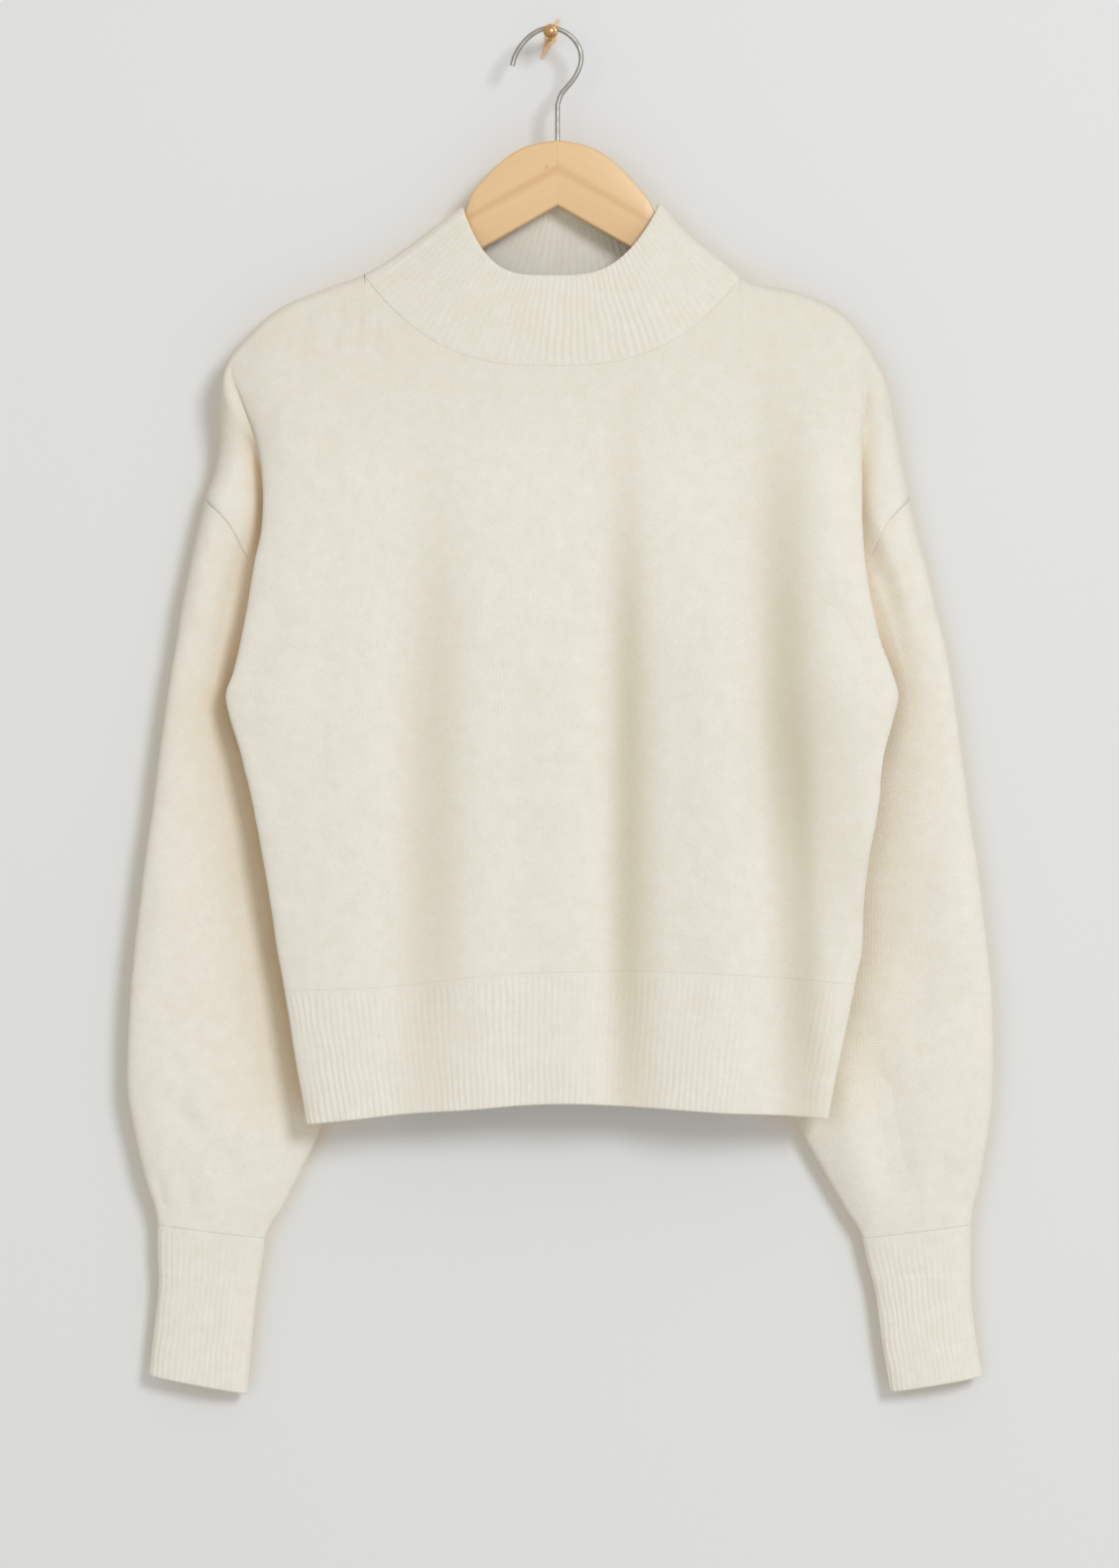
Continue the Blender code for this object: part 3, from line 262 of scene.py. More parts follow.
# Shares of the painted fold shade: in a fold sunk to the full depth, by a crease, high on the
# shoulders where the cloth turns up from the light, and on the collar. Lengths are in mm
FOLD_SHADE_SHIFT = 6.0
SUNKEN_SHADE, FULL_SHADE_DEPTH = 0.26, 6.0
CREASE_SHADE = 0.6
SHOULDER_SHADE, SHOULDER_SHADE_Z, SHOULDER_SHADE_FADE = 0.15, -300.0, 120.0
COLLAR_SHADE = 0.1

# Soft creases that only the finer cloth carries: each runs from one place to another, fades at
# its ends and sinks (or rises) square to the cloth
FRONT_CREASES: Table = (
    ("x", "z", "end_x", "end_z", "half_width", "rise"),
    (166, -340, 208, -434, 11, -2.6),
    (148, -236, 160, -430, 15, -1.6),
    (-160, -356, -199, -424, 10, -1.5),
    (-150, -392, -184, -450, 12, 0.8),
    (-196, -428, -166, -500, 9, -0.8),
    (210, -440, 178, -520, 10, -1.2),
    (-40, -600, -44, -690, 12, 0.8),
    (128, -596, 138, -688, 9, -1.2),
    (-163, -180, -168, -206, 2.4, -0.4),
    (-152, -172, -162, -218, 3.0, -0.4),
    (-138, -180, -141, -200, 2.2, -0.35),
    (-131, -170, -139, -214, 2.6, -0.45),
    (-119, -174, -123, -198, 2.2, -0.4),
    (-108, -180, -112, -208, 2.4, -0.3),
    (122, -172, 130, -206, 2.6, -0.25),
    (138, -172, 150, -204, 2.8, -0.3),
)
# Where the light that reaches the front is low without a fold of its own: long soft shades
# beside the three deep folds, and under the drag of the right underarm. rise is the share
FRONT_SHADES: Table = (
    ("x", "z", "end_x", "end_z", "half_width", "rise"),
    (-68, -200, -72, -720, 18, 0.2),
    (49, -200, 49, -740, 12, 0.38),
    (146, -190, 150, -560, 20, 0.34),
    (157, -400, 162, -720, 11, 0.22),
    (176, -380, 192, -600, 16, 0.18),
)
BACK_CREASES: Table = (
    ("x", "z", "end_x", "end_z", "half_width", "rise"),
    (-150, -300, -186, -400, 13, -2.0),
    (158, -300, 198, -400, 13, -2.2),
    (-96, -182, -60, -206, 9, 0.7),
    (104, -184, 64, -208, 9, 0.7),
    (-60, -420, -66, -560, 12, -1.4),
    (88, -430, 96, -560, 12, -1.6),
    (-120, -560, -150, -600, 12, 1.0),
)
LEFT_CREASES: Table = (
    ("x", "z", "end_x", "end_z", "half_width", "rise"),
    (-243, -676, -218, -705, 8, -1.6),
    (-214, -700, -196, -742, 9, -1.8),
    (-236, -716, -226, -752, 6, -1.2),
    (-204, -372, -196, -470, 9, -1.8),
    (-224, -330, -214, -392, 12, 1.2),
    (-238, -520, -246, -610, 16, 1.2),
    (-190, -560, -176, -650, 14, 1.6),
    (-252, -720, -246, -754, 5, -1.0),
)
RIGHT_CREASES: Table = (
    ("x", "z", "end_x", "end_z", "half_width", "rise"),
    (200, -626, 228, -766, 14, -3.0),
    (178, -626, 206, -766, 13, 2.6),
    (250, -700, 246, -754, 6, -1.2),
    (262, -712, 258, -754, 5, -1.0),
    (216, -380, 206, -480, 9, -1.8),
    (234, -334, 226, -400, 12, 1.2),
    (250, -500, 262, -610, 16, 1.4),
    (228, -560, 240, -660, 14, -1.0),
)
# Where a seam shows as a crease: place, reach and share of its full depth
SHOWN_SEAMS = (
    (-112.0, -160.0, 16.0, 1.0),
    (-98.0, -176.0, 14.0, 0.85),
    (-82.0, -190.0, 16.0, 0.5),
    (-60.0, -203.0, 20.0, 0.28),
    (-214.0, -302.0, 14.0, 0.5),
    (-200.0, -322.0, 16.0, 0.6),
    (216.0, -310.0, 14.0, 0.45),
    (208.0, -326.0, 14.0, 0.5),
)


# ---- Curves and small helpers ----


class Side(Enum):
    """A side of the garment as seen from the front; the value is the direction of its X."""

    LEFT = -1.0
    RIGHT = 1.0

    @property
    def word(self) -> str:
        """The side's name in a table or a piece's name."""
        return self.name.lower()


class Curve:
    """A smooth curve through one column of a table, as a function of its first column."""

    def __init__(self, table: Table, name: str) -> None:
        """Reads the column.

        Args:
            table: rows of numbers under a row of names.
            name: the column to read.
        """
        place = table[0].index(name)
        knots = np.array([row[0] for row in table[1:]], float)
        values = np.array([row[place] for row in table[1:]], float)
        order = np.argsort(knots)
        self.knots, self.values = knots[order], values[order]
        self.slopes = np.gradient(self.values, self.knots)
        if name in STEADY_COLUMNS:
            # No slope is so steep that the curve would swing past a row of the table
            secants = np.diff(self.values) / np.diff(self.knots)
            steepest = 3 * np.minimum(np.abs(secants[:-1]), np.abs(secants[1:]))
            steepest = np.where(secants[:-1] * secants[1:] > 0, steepest, 0.0)
            self.slopes[1:-1] = np.clip(self.slopes[1:-1], -steepest, steepest)

    def __call__(self, q: Any) -> Points:
        """The curve's height at q, level beyond its ends.

        Args:
            q: places along the first column.

        Returns:
            The heights.
        """
        knots, values = self.knots, self.values
        q = np.clip(np.asarray(q, float), knots[0], knots[-1])
        i = np.clip(np.searchsorted(knots, q, side="right") - 1, 0, len(knots) - 2)
        width = knots[i + 1] - knots[i]
        s = (q - knots[i]) / width
        near = (1 + 2 * s) * (1 - s) ** 2 * values[i] + s * (1 - s) ** 2 * width * self.slopes[i]
        far = s**2 * (3 - 2 * s) * values[i + 1] + s**2 * (s - 1) * width * self.slopes[i + 1]
        return near + far


def curves(table: Table) -> dict[str, Curve]:
    """Every column of a table as a curve."""
    return {name: Curve(table, name) for name in table[0][1:]}


def mix(a: Any, b: Any, share: Any) -> Any:
    """From a at share 0 to b at share 1."""
    return a + (b - a) * share


def ease(q: Any) -> Points:
    """0 below 0, 1 above 1 and smooth between."""
    q = np.clip(q, 0.0, 1.0)
    return q * q * (3 - 2 * q)


def uneven(x: Points, z: Points, size: float) -> Points:
    """A soft unevenness from -1 to 1 that repeats nowhere in the garment.

    Args:
        x: places across, in mm.
        z: places up, in mm.
        size: the rough length of one swell, in mm.

    Returns:
        The height at each place.
    """
    total = np.zeros(np.broadcast(x, z).shape)
    turn = 2 * math.pi / size
    for k in range(7):
        angle = 0.7 + 2.399 * k
        pitch = turn * (0.72 + 0.13 * k)
        along = x * math.cos(angle) + z * math.sin(angle)
        total = total + np.sin(along * pitch + 1.7 * k)
    return total / 3.5


def creases(table: Table, x: Points, z: Points) -> Points:
    """The height that a table of soft creases gives each place.

    Args:
        table: the creases, each from one end to the other.
        x: places across, in mm.
        z: places up, in mm.

    Returns:
        How far the cloth stands out there, in mm.
    """
    total = np.zeros(np.broadcast(x, z).shape)
    for start_x, start_z, end_x, end_z, half_width, rise in table[1:]:
        length = math.hypot(end_x - start_x, end_z - start_z)
        along_x, along_z = (end_x - start_x) / length, (end_z - start_z) / length
        along = ((x - start_x) * along_x + (z - start_z) * along_z) / length
        off = (x - start_x) * along_z - (z - start_z) * along_x
        shown = ease(along / 0.35) * ease((1 - along) / 0.35)
        total = total + rise * shown * np.exp(-((off / half_width) ** 2))
    return total


def swells(x: Points, z: Points) -> Points:
    """The low unevenness of cloth that hangs: the same across a seam from piece to piece."""
    return 0.35 * uneven(x, z, 74.0) + 0.1 * uneven(z, x, 23.0)


def patchy(x: Points, z: Points) -> Points:
    """The share of its full height that a rib keeps where the brushing has flattened it."""
    return np.clip(0.62 + 0.42 * uneven(x, z * 0.6, 52.0), 0.15, 1.1)


def sway(x: Points, z: Points) -> Points:
    """How far a rib wanders sideways, as a share of the space between ribs."""
    return 0.16 * uneven(x, z, 30.0)


def metres(points: Points) -> Points:
    """From (x, depth in front of the wall, z) in millimetres to the scene's metres."""
    return points * np.array([MM, -MM, MM])


# ---- Finishes ----


def linear(hex_colour: str) -> tuple[float, float, float, float]:
    """An sRGB hex value as linear red, green, blue and full alpha.

    Args:
        hex_colour: six hex digits.

    Returns:
        The four shares.
    """
    shares = [int(hex_colour[i : i + 2], 16) / 255 for i in (0, 2, 4)]
    red, green, blue = (
        share / 12.92 if share <= 0.04045 else ((share + 0.055) / 1.055) ** 2.4
        for share in shares
    )
    return red, green, blue, 1.0


def add_node(
    tree: bpy.types.NodeTree,
    kind: str,
    settings: dict[str, Any] | None = None,
    **inputs: Any,
) -> bpy.types.Node:
    """Adds one node with its settings and links.

    Args:
        tree: the material's node tree.
        kind: the node's type name without "ShaderNode".
        settings: properties of the node itself.
        **inputs: a value or an output socket for each input. A name is the socket's own name
            with _ for a space, or in0, in1 ... for a socket by its place.

    Returns:
        The new node.
    """
    node = tree.nodes.new("ShaderNode" + kind)
    for name, value in (settings or {}).items():
        setattr(node, name, value)
    for name, value in inputs.items():
        if name.startswith("in") and name[2:].isdigit():
            socket = node.inputs[int(name[2:])]
        else:
            socket = node.inputs[name.replace("_", " ")]
        if isinstance(value, bpy.types.NodeSocket):
            tree.links.new(value, socket)
        else:
            socket.default_value = value
    return node


class Graph:
    """A new material with its Principled shader, and short calls for its usual nodes."""

    def __init__(self, name: str, colour: str) -> None:
        """Starts the material.

        Args:
            name: the material's name.
            colour: what plain views show it in.
        """
        self.material = bpy.data.materials.new(name)
        self.material.use_nodes = True
        self.material.diffuse_color = linear(colour)
        self.tree = self.material.node_tree
        self.shader = self.tree.nodes["Principled BSDF"]

    def math(self, operation: str, *values: Any) -> bpy.types.NodeSocket:
        """The result of one sum."""
        named = {f"in{k}": value for k, value in enumerate(values)}
        return add_node(self.tree, "Math", {"operation": operation}, **named).outputs[0]

    def spread(
        self, value: Any, low: float, high: float, to_low: float, to_high: float,
        smooth: bool = False,
    ) -> bpy.types.NodeSocket:
        """A value of one range, held in it and spread over another.

        Args:
            value: the socket to spread.
            low: the lowest value that counts.
            high: the highest value that counts.
            to_low: the result at low.
            to_high: the result at high.
            smooth: ease in and out between them.

        Returns:
            The result.
        """
        settings = {"interpolation_type": "SMOOTHSTEP" if smooth else "LINEAR"}
        return add_node(
            self.tree, "MapRange", settings, Value=value,
            From_Min=low, From_Max=high, To_Min=to_low, To_Max=to_high,
        ).outputs[0]

    def blend(self, share: Any, start: Any, end: Any) -> bpy.types.NodeSocket:
        """Two colours mixed by a share; each is a hex value or a socket.

        Args:
            share: how much of the end colour shows.
            start: the colour at share 0.
            end: the colour at share 1.

        Returns:
            The mixed colour.
        """
        start, end = (linear(of) if isinstance(of, str) else of for of in (start, end))
        return add_node(
            self.tree, "Mix", {"data_type": "RGBA"}, in0=share, in6=start, in7=end
        ).outputs[2]

    def noise(
        self, place: Any, size: float, detail: float, roughness: float = 0.5
    ) -> bpy.types.NodeSocket:
        """A soft noise from 0 to 1 whose swells are about this many metres long.

        Args:
            place: where each point lies.
            size: the rough length of a swell, in metres.
            detail: how many finer layers lie on it.
            roughness: how strong each finer layer is.

        Returns:
            The noise's height.
        """
        return add_node(
            self.tree, "TexNoise", Vector=place, Scale=1.0 / size, Detail=detail,
            Roughness=roughness,
        ).outputs[0]

    def bump(self, height: Any, strength: float, rise_mm: float, **over: Any) -> Any:
        """A slope of the surface from a height, over another slope where one is given."""
        return add_node(
            self.tree, "Bump", Strength=strength, Distance=rise_mm * MM, Height=height, **over
        ).outputs[0]

    def place(self, kind: str, output: str, settings: dict[str, Any] | None = None) -> Any:
        """Where on the object, or on its flat cloth or board, a point lies."""
        return add_node(self.tree, kind, settings).outputs[output]

    def finish(self, links: dict[str, Any], **constants: Any) -> bpy.types.Material:
        """Links the shader, sets its constants and gives the material.

        Args:
            links: an output socket for each linked input.
            **constants: a value for each other input, with _ for a space in its name.

        Returns:
            The material.
        """
        for name, socket in links.items():
            self.tree.links.new(socket, self.shader.inputs[name])
        for name, value in constants.items():
            self.shader.inputs[name.replace("_", " ")].default_value = value
        return self.material


@dataclass(frozen=True)
class BrushedWool:
    """Lambswool, knitted fine and then brushed and lightly felted.

    The eye gets a matt cream cloth with a soft halo of nap: the stitches lie just under it as
    faint upright rows, and the lie of the nap makes a very low mottle. Light that gets into a
    deep fold has passed from fibre to fibre and looks warmer there, so a warm shade is painted
    into the colour in narrow folds, and a little darker painted shade in the wide soft folds.
    """

    name: str = "brushed_lambswool"
    colour: str = "EFEDE5"
    deep_colour: str = "E7E1D0"
    fold_shade_colour: str = "B9AE8E"
    hollow_shade_colour: str = "DCBB8A"
    fibre_colour: str = "F4EFE4"
    roughness: float = 0.92
    sheen: float = 0.32
    stitch_width_mm: float = 2.1
    stitch_height_mm: float = 1.7
    nap_mm: float = 1.1
    mottle_mm: float = 9.0
    stitch_bump: float = 0.16
    nap_bump: float = 0.5
    bump_mm: float = 0.6
    vee_slant: float = 1.4
    wale_height: float = 3.0

    def build(self) -> bpy.types.Material:
        """Makes the material. The pattern reads the UV map, which is in metres of cloth.

        Returns:
            The material.
        """
        graph = Graph(self.name, self.colour)
        cloth = graph.place("UVMap", "UV", {"uv_map": "cloth"})
        solid = graph.place("TexCoord", "Object")
        parts = add_node(graph.tree, "SeparateXYZ", Vector=cloth).outputs
        # Stockinette: each wale is a column of Vs, so the courses rise to both sides of it
        wale = graph.math("DIVIDE", parts["X"], self.stitch_width_mm * MM)
        saw = graph.math("PINGPONG", wale, 0.5)
        course = graph.math("DIVIDE", parts["Y"], self.stitch_height_mm * MM)
        slant = graph.math("MULTIPLY_ADD", saw, self.vee_slant, course)
        yarn = graph.math("SINE", graph.math("MULTIPLY", slant, 2 * math.pi))
        channel = graph.math("MULTIPLY_ADD", saw, self.wale_height, yarn)
        nap = graph.noise(solid, self.nap_mm * MM, 3.0, 0.62)
        mottle = graph.noise(solid, self.mottle_mm * MM, 4.0, 0.6)
        stitches = graph.bump(channel, self.stitch_bump, self.bump_mm)
        fuzz = graph.bump(nap, self.nap_bump, self.bump_mm, Normal=stitches)
        tone = graph.spread(mottle, 0.3, 0.7, 0.0, 0.5)
        speck = graph.spread(nap, 0.35, 0.7, 0.35, 0.0)
        colour = graph.blend(graph.math("ADD", tone, speck), self.colour, self.deep_colour)
        # Painted shade: two shade shares on the mesh mix the colour towards a darker shade for soft
        # folds and a warm shade for narrow folds
        for name, shade in (("fold", self.fold_shade_colour), ("hollow_shade", self.hollow_shade_colour)):
            share = graph.place("Attribute", "Fac", {"attribute_name": name})
            colour = graph.blend(share, colour, shade)
        return graph.finish(
            {"Base Color": colour, "Normal": fuzz}, Roughness=self.roughness, IOR=1.45,
            Specular_IOR_Level=0.2, Sheen_Weight=self.sheen, Sheen_Roughness=0.55,
            Sheen_Tint=linear(self.fibre_colour),
        )


@dataclass(frozen=True)
class LacqueredPine:
    """Pine board, sawn, sanded and sprayed with clear satin lacquer.

    The eye gets pale orange wood with a trace of growth rings along each arm, one darker line
    of heartwood at mid height, a small knot, fine pores and a soft highlight from the lacquer.
    """

    name: str = "lacquered_pine"
    colour: str = "E5C190"
    ring_colour: str = "DBB07A"
    streak_colour: str = "BD8649"
    ring_mm: float = 7.0
    heart_mm: float = 38.9
    heart_width_mm: float = 4.4
    knot_place: tuple[float, float, float] = (0.0069, 0.0386, 0.0)
    heart_share: float = 0.3
    ring_share: float = 0.1
    bend_length: float = 1 / 60
    bend_mm: float = 9.0
    pore_mm: float = 0.35
    pore_share: float = 0.18
    roughness: float = 0.42

    def build(self) -> bpy.types.Material:
        """Makes the material. The UV map runs along the board, in metres.

        Returns:
            The material.
        """
        graph = Graph(self.name, self.colour)
        tree = graph.tree
        board = graph.place("UVMap", "UV", {"uv_map": "board"})
        drawn = add_node(tree, "Mapping", Vector=board, Scale=(0.1, 1.0, 1.0)).outputs[0]
        bend = graph.noise(drawn, self.bend_length, 2.0)
        upright = add_node(tree, "SeparateXYZ", Vector=board).outputs["Y"]
        swung = graph.math("MULTIPLY_ADD", bend, self.bend_mm * MM, upright)
        off = graph.math("ABSOLUTE", graph.math("SUBTRACT", swung, self.heart_mm * MM))
        heart = graph.spread(off, 0.0, self.heart_width_mm * MM, self.heart_share, 0.0, True)
        turn = graph.math("MULTIPLY", swung, 2 * math.pi / (self.ring_mm * MM))
        rings = graph.spread(graph.math("SINE", turn), -1.0, 1.0, 0.0, self.ring_share)
        spot = add_node(
            tree, "VectorMath", {"operation": "DISTANCE"}, in0=board, in1=self.knot_place
        ).outputs["Value"]
        knot = graph.spread(spot, 0.0002, 0.002, 0.5, 0.0, True)
        fine = add_node(tree, "Mapping", Vector=board, Scale=(0.035, 1.0, 1.0)).outputs[0]
        pores = graph.noise(fine, self.pore_mm * MM, 3.0, 0.6)
        colour = graph.blend(rings, self.colour, self.ring_colour)
        colour = graph.blend(graph.math("MAXIMUM", heart, knot), colour, self.streak_colour)
        pore_share = graph.spread(pores, 0.5, 0.75, 0.0, self.pore_share)
        colour = graph.blend(pore_share, colour, self.streak_colour)
        return graph.finish(
            {"Base Color": colour, "Normal": graph.bump(pores, 0.12, 0.3)},
            Roughness=self.roughness, IOR=1.5, Coat_Weight=0.25, Coat_Roughness=0.3,
        )


@dataclass(frozen=True)
class Metal:
    """A bare metal with the fine marks of its making.

    Args:
        name: the metal and how it was made.
        colour: its tint.
        dull_colour: the tint of the film that handling and air leave on it.
        roughness: of the clean metal.
        mark_mm: the spacing of the marks.
        film_length: the rough length of one patch of film, in metres.
    """

    name: str
    colour: str
    dull_colour: str
    roughness: float
    mark_mm: float
    film_length: float = 1 / 160

    def build(self) -> bpy.types.Material:
        """Makes the material: clean metal and film mixed by a slow noise, and fine marks.

        Returns:
            The material.
        """
        graph = Graph(self.name, self.colour)
        solid = graph.place("TexCoord", "Object")
        film = graph.noise(solid, self.film_length, 4.0)
        marks = graph.noise(solid, self.mark_mm * MM, 2.0)
        dulled = graph.spread(film, 0.4, 0.7, 0.0, 1.0)
        rough = graph.spread(film, 0.3, 0.7, self.roughness * 0.8, self.roughness * 1.35)
        colour = graph.blend(dulled, self.colour, self.dull_colour)
        links = {"Base Color": colour, "Roughness": rough, "Normal": graph.bump(marks, 0.03, 0.2)}
        return graph.finish(links, Metallic=1.0)


DRAWN_STEEL = Metal("drawn_steel_wire", "B9B7B2", "A19E97", 0.38, 0.4)
# Turned brass with patches of clear tarnish reads as warm gold beside the grey wall
TURNED_BRASS = Metal("turned_brass", "E2C198", "C4A074", 0.34, 0.5)


@dataclass(frozen=True)
class WallPaint:
    """Matt emulsion on a plain plastered wall, or the pale floor: smooth, with no gloss.

    The wall has warm bounce light and shade painted in where the cloth hangs close to it.
    """

    name: str
    colour: str
    bounce_shade_colour: str = "EBDDC6"
    bounce_shade_mm: float = 50.0
    roller_length: float = 1 / 300
    one_sided: bool = False

    def build(self) -> bpy.types.Material:
        """Makes the material. A one-sided wall isn't seen from behind.

        Returns:
            The material.
        """
        graph = Graph(self.name, self.colour)
        roller = graph.noise(graph.place("TexCoord", "Object"), self.roller_length, 2.0)
        links = {"Normal": graph.bump(roller, 0.03, 0.5)}
        if self.one_sided:
            links["Base Color"] = self.painted_bounce_near_cloth(graph)
            clear = add_node(graph.tree, "BsdfTransparent").outputs[0]
            facing = graph.place("NewGeometry", "Backfacing")
            chosen = add_node(
                graph.tree, "MixShader", in0=facing, in1=graph.shader.outputs[0], in2=clear
            )
            surface = graph.tree.nodes["Material Output"].inputs["Surface"]
            graph.tree.links.new(chosen.outputs[0], surface)
        return graph.finish(
            links, Base_Color=linear(self.colour), Roughness=0.9, Specular_IOR_Level=0.1
        )

    def painted_bounce_near_cloth(self, graph: Graph) -> bpy.types.NodeSocket:
        """The wall's colour, with warm bounce light and shade painted in near what hangs in front
        of it.

        Args:
            graph: the paint's own graph.

        Returns:
            The colour.
        """
        open_share = add_node(
            graph.tree, "AmbientOcclusion", {"samples": 6}, Distance=self.bounce_shade_mm * MM
        ).outputs["AO"]
        # Painted bounce light and shade: the less open the wall is to its surroundings, the warmer
        near = graph.spread(open_share, 0.25, 0.8, 1.0, 0.0, True)
        return graph.blend(near, self.colour, self.bounce_shade_colour)


# ---- The garment's form ----


@dataclass(frozen=True)
class Form:
    """The surfaces that the garment hangs in: ridge, panels, sleeves and collar.

    Every surface gives (x, depth, z) in millimetres. On a body panel, c runs from -1 to 1
    between the folds down its sides and on to 2 at the seams beside them, and v from 0 at the
    shoulder to 1 at the rib seam and 2 at the hem.
    """

    ridge_depth: float = 26.0
    ridge_radius: float = 9.2
    front_swell: float = 22.0
    front_swell_drop: float = 70.0
    back_depth: float = 5.0
    back_swell_drop: float = 30.0
    break_left: float = -202.0
    break_right: float = 205.0
    break_z: float = -203.0
    neck_x: float = 1.5
    neck_half: float = 119.5
    neck_front_z: float = -213.7
    neck_rise: float = 58.5
    neck_power: float = 2.8
    back_neck_z: float = -172.0
    back_neck_rise: float = 16.8
    back_neck_power: float = 2.4
    rim_x: float = 6.3
    rim_half: float = 62.4
    rim_front_z: float = -156.0
    rim_rise: float = 45.8
    rim_power_left: float = 4.2
    rim_power_right: float = 2.8
    back_rim_z: float = -108.5
    back_rim_rise: float = -4.0
    back_rim_power: float = 2.0
    armhole_top_z: float = -296.0
    fold_fade: float = 190.0
    back_hem_lift: float = 15.0
    sleeve_back_depth: float = 4.0
    sleeve_flatness: float = 0.75
    sleeve_lean: float = 0.95
    cuff_lean: float = 0.15
    lean_start: float = 0.45
    lean_span: float = 0.5
    armhole_fade: float = 0.25
    cap_depth: float = 14.0
    cap_swell: float = 18.0
    cap_radius: float = 15.0
    cap_settle: float = 70.0
    groove_dip: float = 7.0
    groove_width: float = 9.0
    groove_out: float = 0.3
    behind_rows: float = 0.16
    fold_drop: float = 12.0
    fold_rounding: float = 3.2
    fold_settle: float = 120.0
    fold_start: float = 60.0
    groove_start: float = 15.0
    side_seam_z: float = -605.0
    side_hem_z: float = -690.0
    back_side_reach: float = 80.0
    back_lift_z: float = -372.0
    back_lift_fade: float = 48.0
    behind_v: float = 0.17
    groove_v: float = 0.34
    foot_v: float = 0.53
    top_line: Curve = field(default_factory=lambda: Curve(TOP_LINE, "z"))
    rib_seam: Curve = field(default_factory=lambda: Curve(RIB_SEAM, "z"))
    hem_edge: Curve = field(default_factory=lambda: Curve(HEM_EDGE, "z"))
    fold_line: dict[str, Curve] = field(default_factory=lambda: curves(FOLD_LINE))
    cap_line: dict[str, Curve] = field(default_factory=lambda: curves(CAP_LINE))
    armhole_front: dict[str, Curve] = field(default_factory=lambda: curves(ARMHOLE_FRONT))
    armhole_back: dict[str, Curve] = field(default_factory=lambda: curves(ARMHOLE_BACK))
    side_line: dict[str, Curve] = field(default_factory=lambda: curves(SIDE_LINE))

    def drop_over(self, run: Any) -> Points:
        """How far a point sinks below the ridge after running this far over it."""
        quarter = self.ridge_radius * math.pi / 2
        bent = self.ridge_radius * (1 - np.cos(np.minimum(run, quarter) / self.ridge_radius))
        return np.where(run < quarter, bent, self.ridge_radius + run - quarter)

    def run_over(self, drop: Any) -> Points:
        """The run over the ridge that sinks this far: the inverse of drop_over.

        Args:
            drop: how far below the ridge, in mm.

        Returns:
            The run, in mm.
        """
        drop = np.maximum(drop, 0.0)
        radius = self.ridge_radius
        bent = radius * np.arccos(1 - np.minimum(drop, radius) / radius)
        return np.where(drop < radius, bent, drop + radius * (math.pi / 2 - 1))

    def offset_over(self, run: Any, swell: float, swell_drop: float) -> Points:
        """How far a point stands off the ridge after running this far over it.

        Args:
            run: the run over the ridge, in mm.
            swell: how far the cloth swells out beyond the ridge.
            swell_drop: over what further run it does.

        Returns:
            The offset, in mm.
        """
        quarter = self.ridge_radius * math.pi / 2
        bent = self.ridge_radius * np.sin(np.minimum(run, quarter) / self.ridge_radius)
        further = np.maximum(run - quarter, 0.0)
        return bent + swell * (1 - np.exp(-further / swell_drop))

    def front_depth(self, run: Any) -> Points:
        """Depth of the front after running this far over the ridge."""
        return self.ridge_depth + self.offset_over(run, self.front_swell, self.front_swell_drop)

    def back_depth_at(self, run: Any) -> Points:
        """Depth of the back after running this far over the ridge."""
        swell = self.ridge_depth - self.ridge_radius - self.back_depth
        return self.ridge_depth - self.offset_over(run, swell, self.back_swell_drop)

    def soft_folds(self, table: Table, x: Points, z: Points) -> Points:
        """The soft folds of one body panel at a place on it.

        Args:
            table: the panel's folds.
            x: places across, in mm.
            z: places up, in mm.

        Returns:
            How far the cloth stands out there, in mm.
        """
        total = np.zeros(np.broadcast(x, z).shape)
        for x_top, x_hem, start_z, half_width, rise in table[1:]:
            middle = mix(x_top, x_hem, (start_z - z) / (start_z - FOLD_LINE[-1][0]))
            strength = ease((start_z - z) / self.fold_fade)
            total = total + rise * strength * np.exp(-(((x - middle) / half_width) ** 2))
        return total

    def neck_z(self, x: Points, front: bool) -> Points:
        """Height of the neck seam.

        Args:
            x: places across, in mm.
            front: the front, or else the back.

        Returns:
            The heights, in mm.
        """
        away = np.abs(x - self.neck_x) / self.neck_half
        if front:
            return self.neck_front_z + self.neck_rise * away**self.neck_power
        return self.back_neck_z + self.back_neck_rise * away**self.back_neck_power

    def rim_z(self, x: Points, front: bool) -> Points:
        """Height of the collar's edge.

        Args:
            x: places across, in mm.
            front: the front, or else the back.

        Returns:
            The heights, in mm.
        """
        away = (x - self.rim_x) / self.rim_half
        if front:
            power = np.where(away < 0, self.rim_power_left, self.rim_power_right)
            return self.rim_front_z + self.rim_rise * np.abs(away) ** power
        return self.back_rim_z + self.back_rim_rise * np.abs(away) ** self.back_rim_power

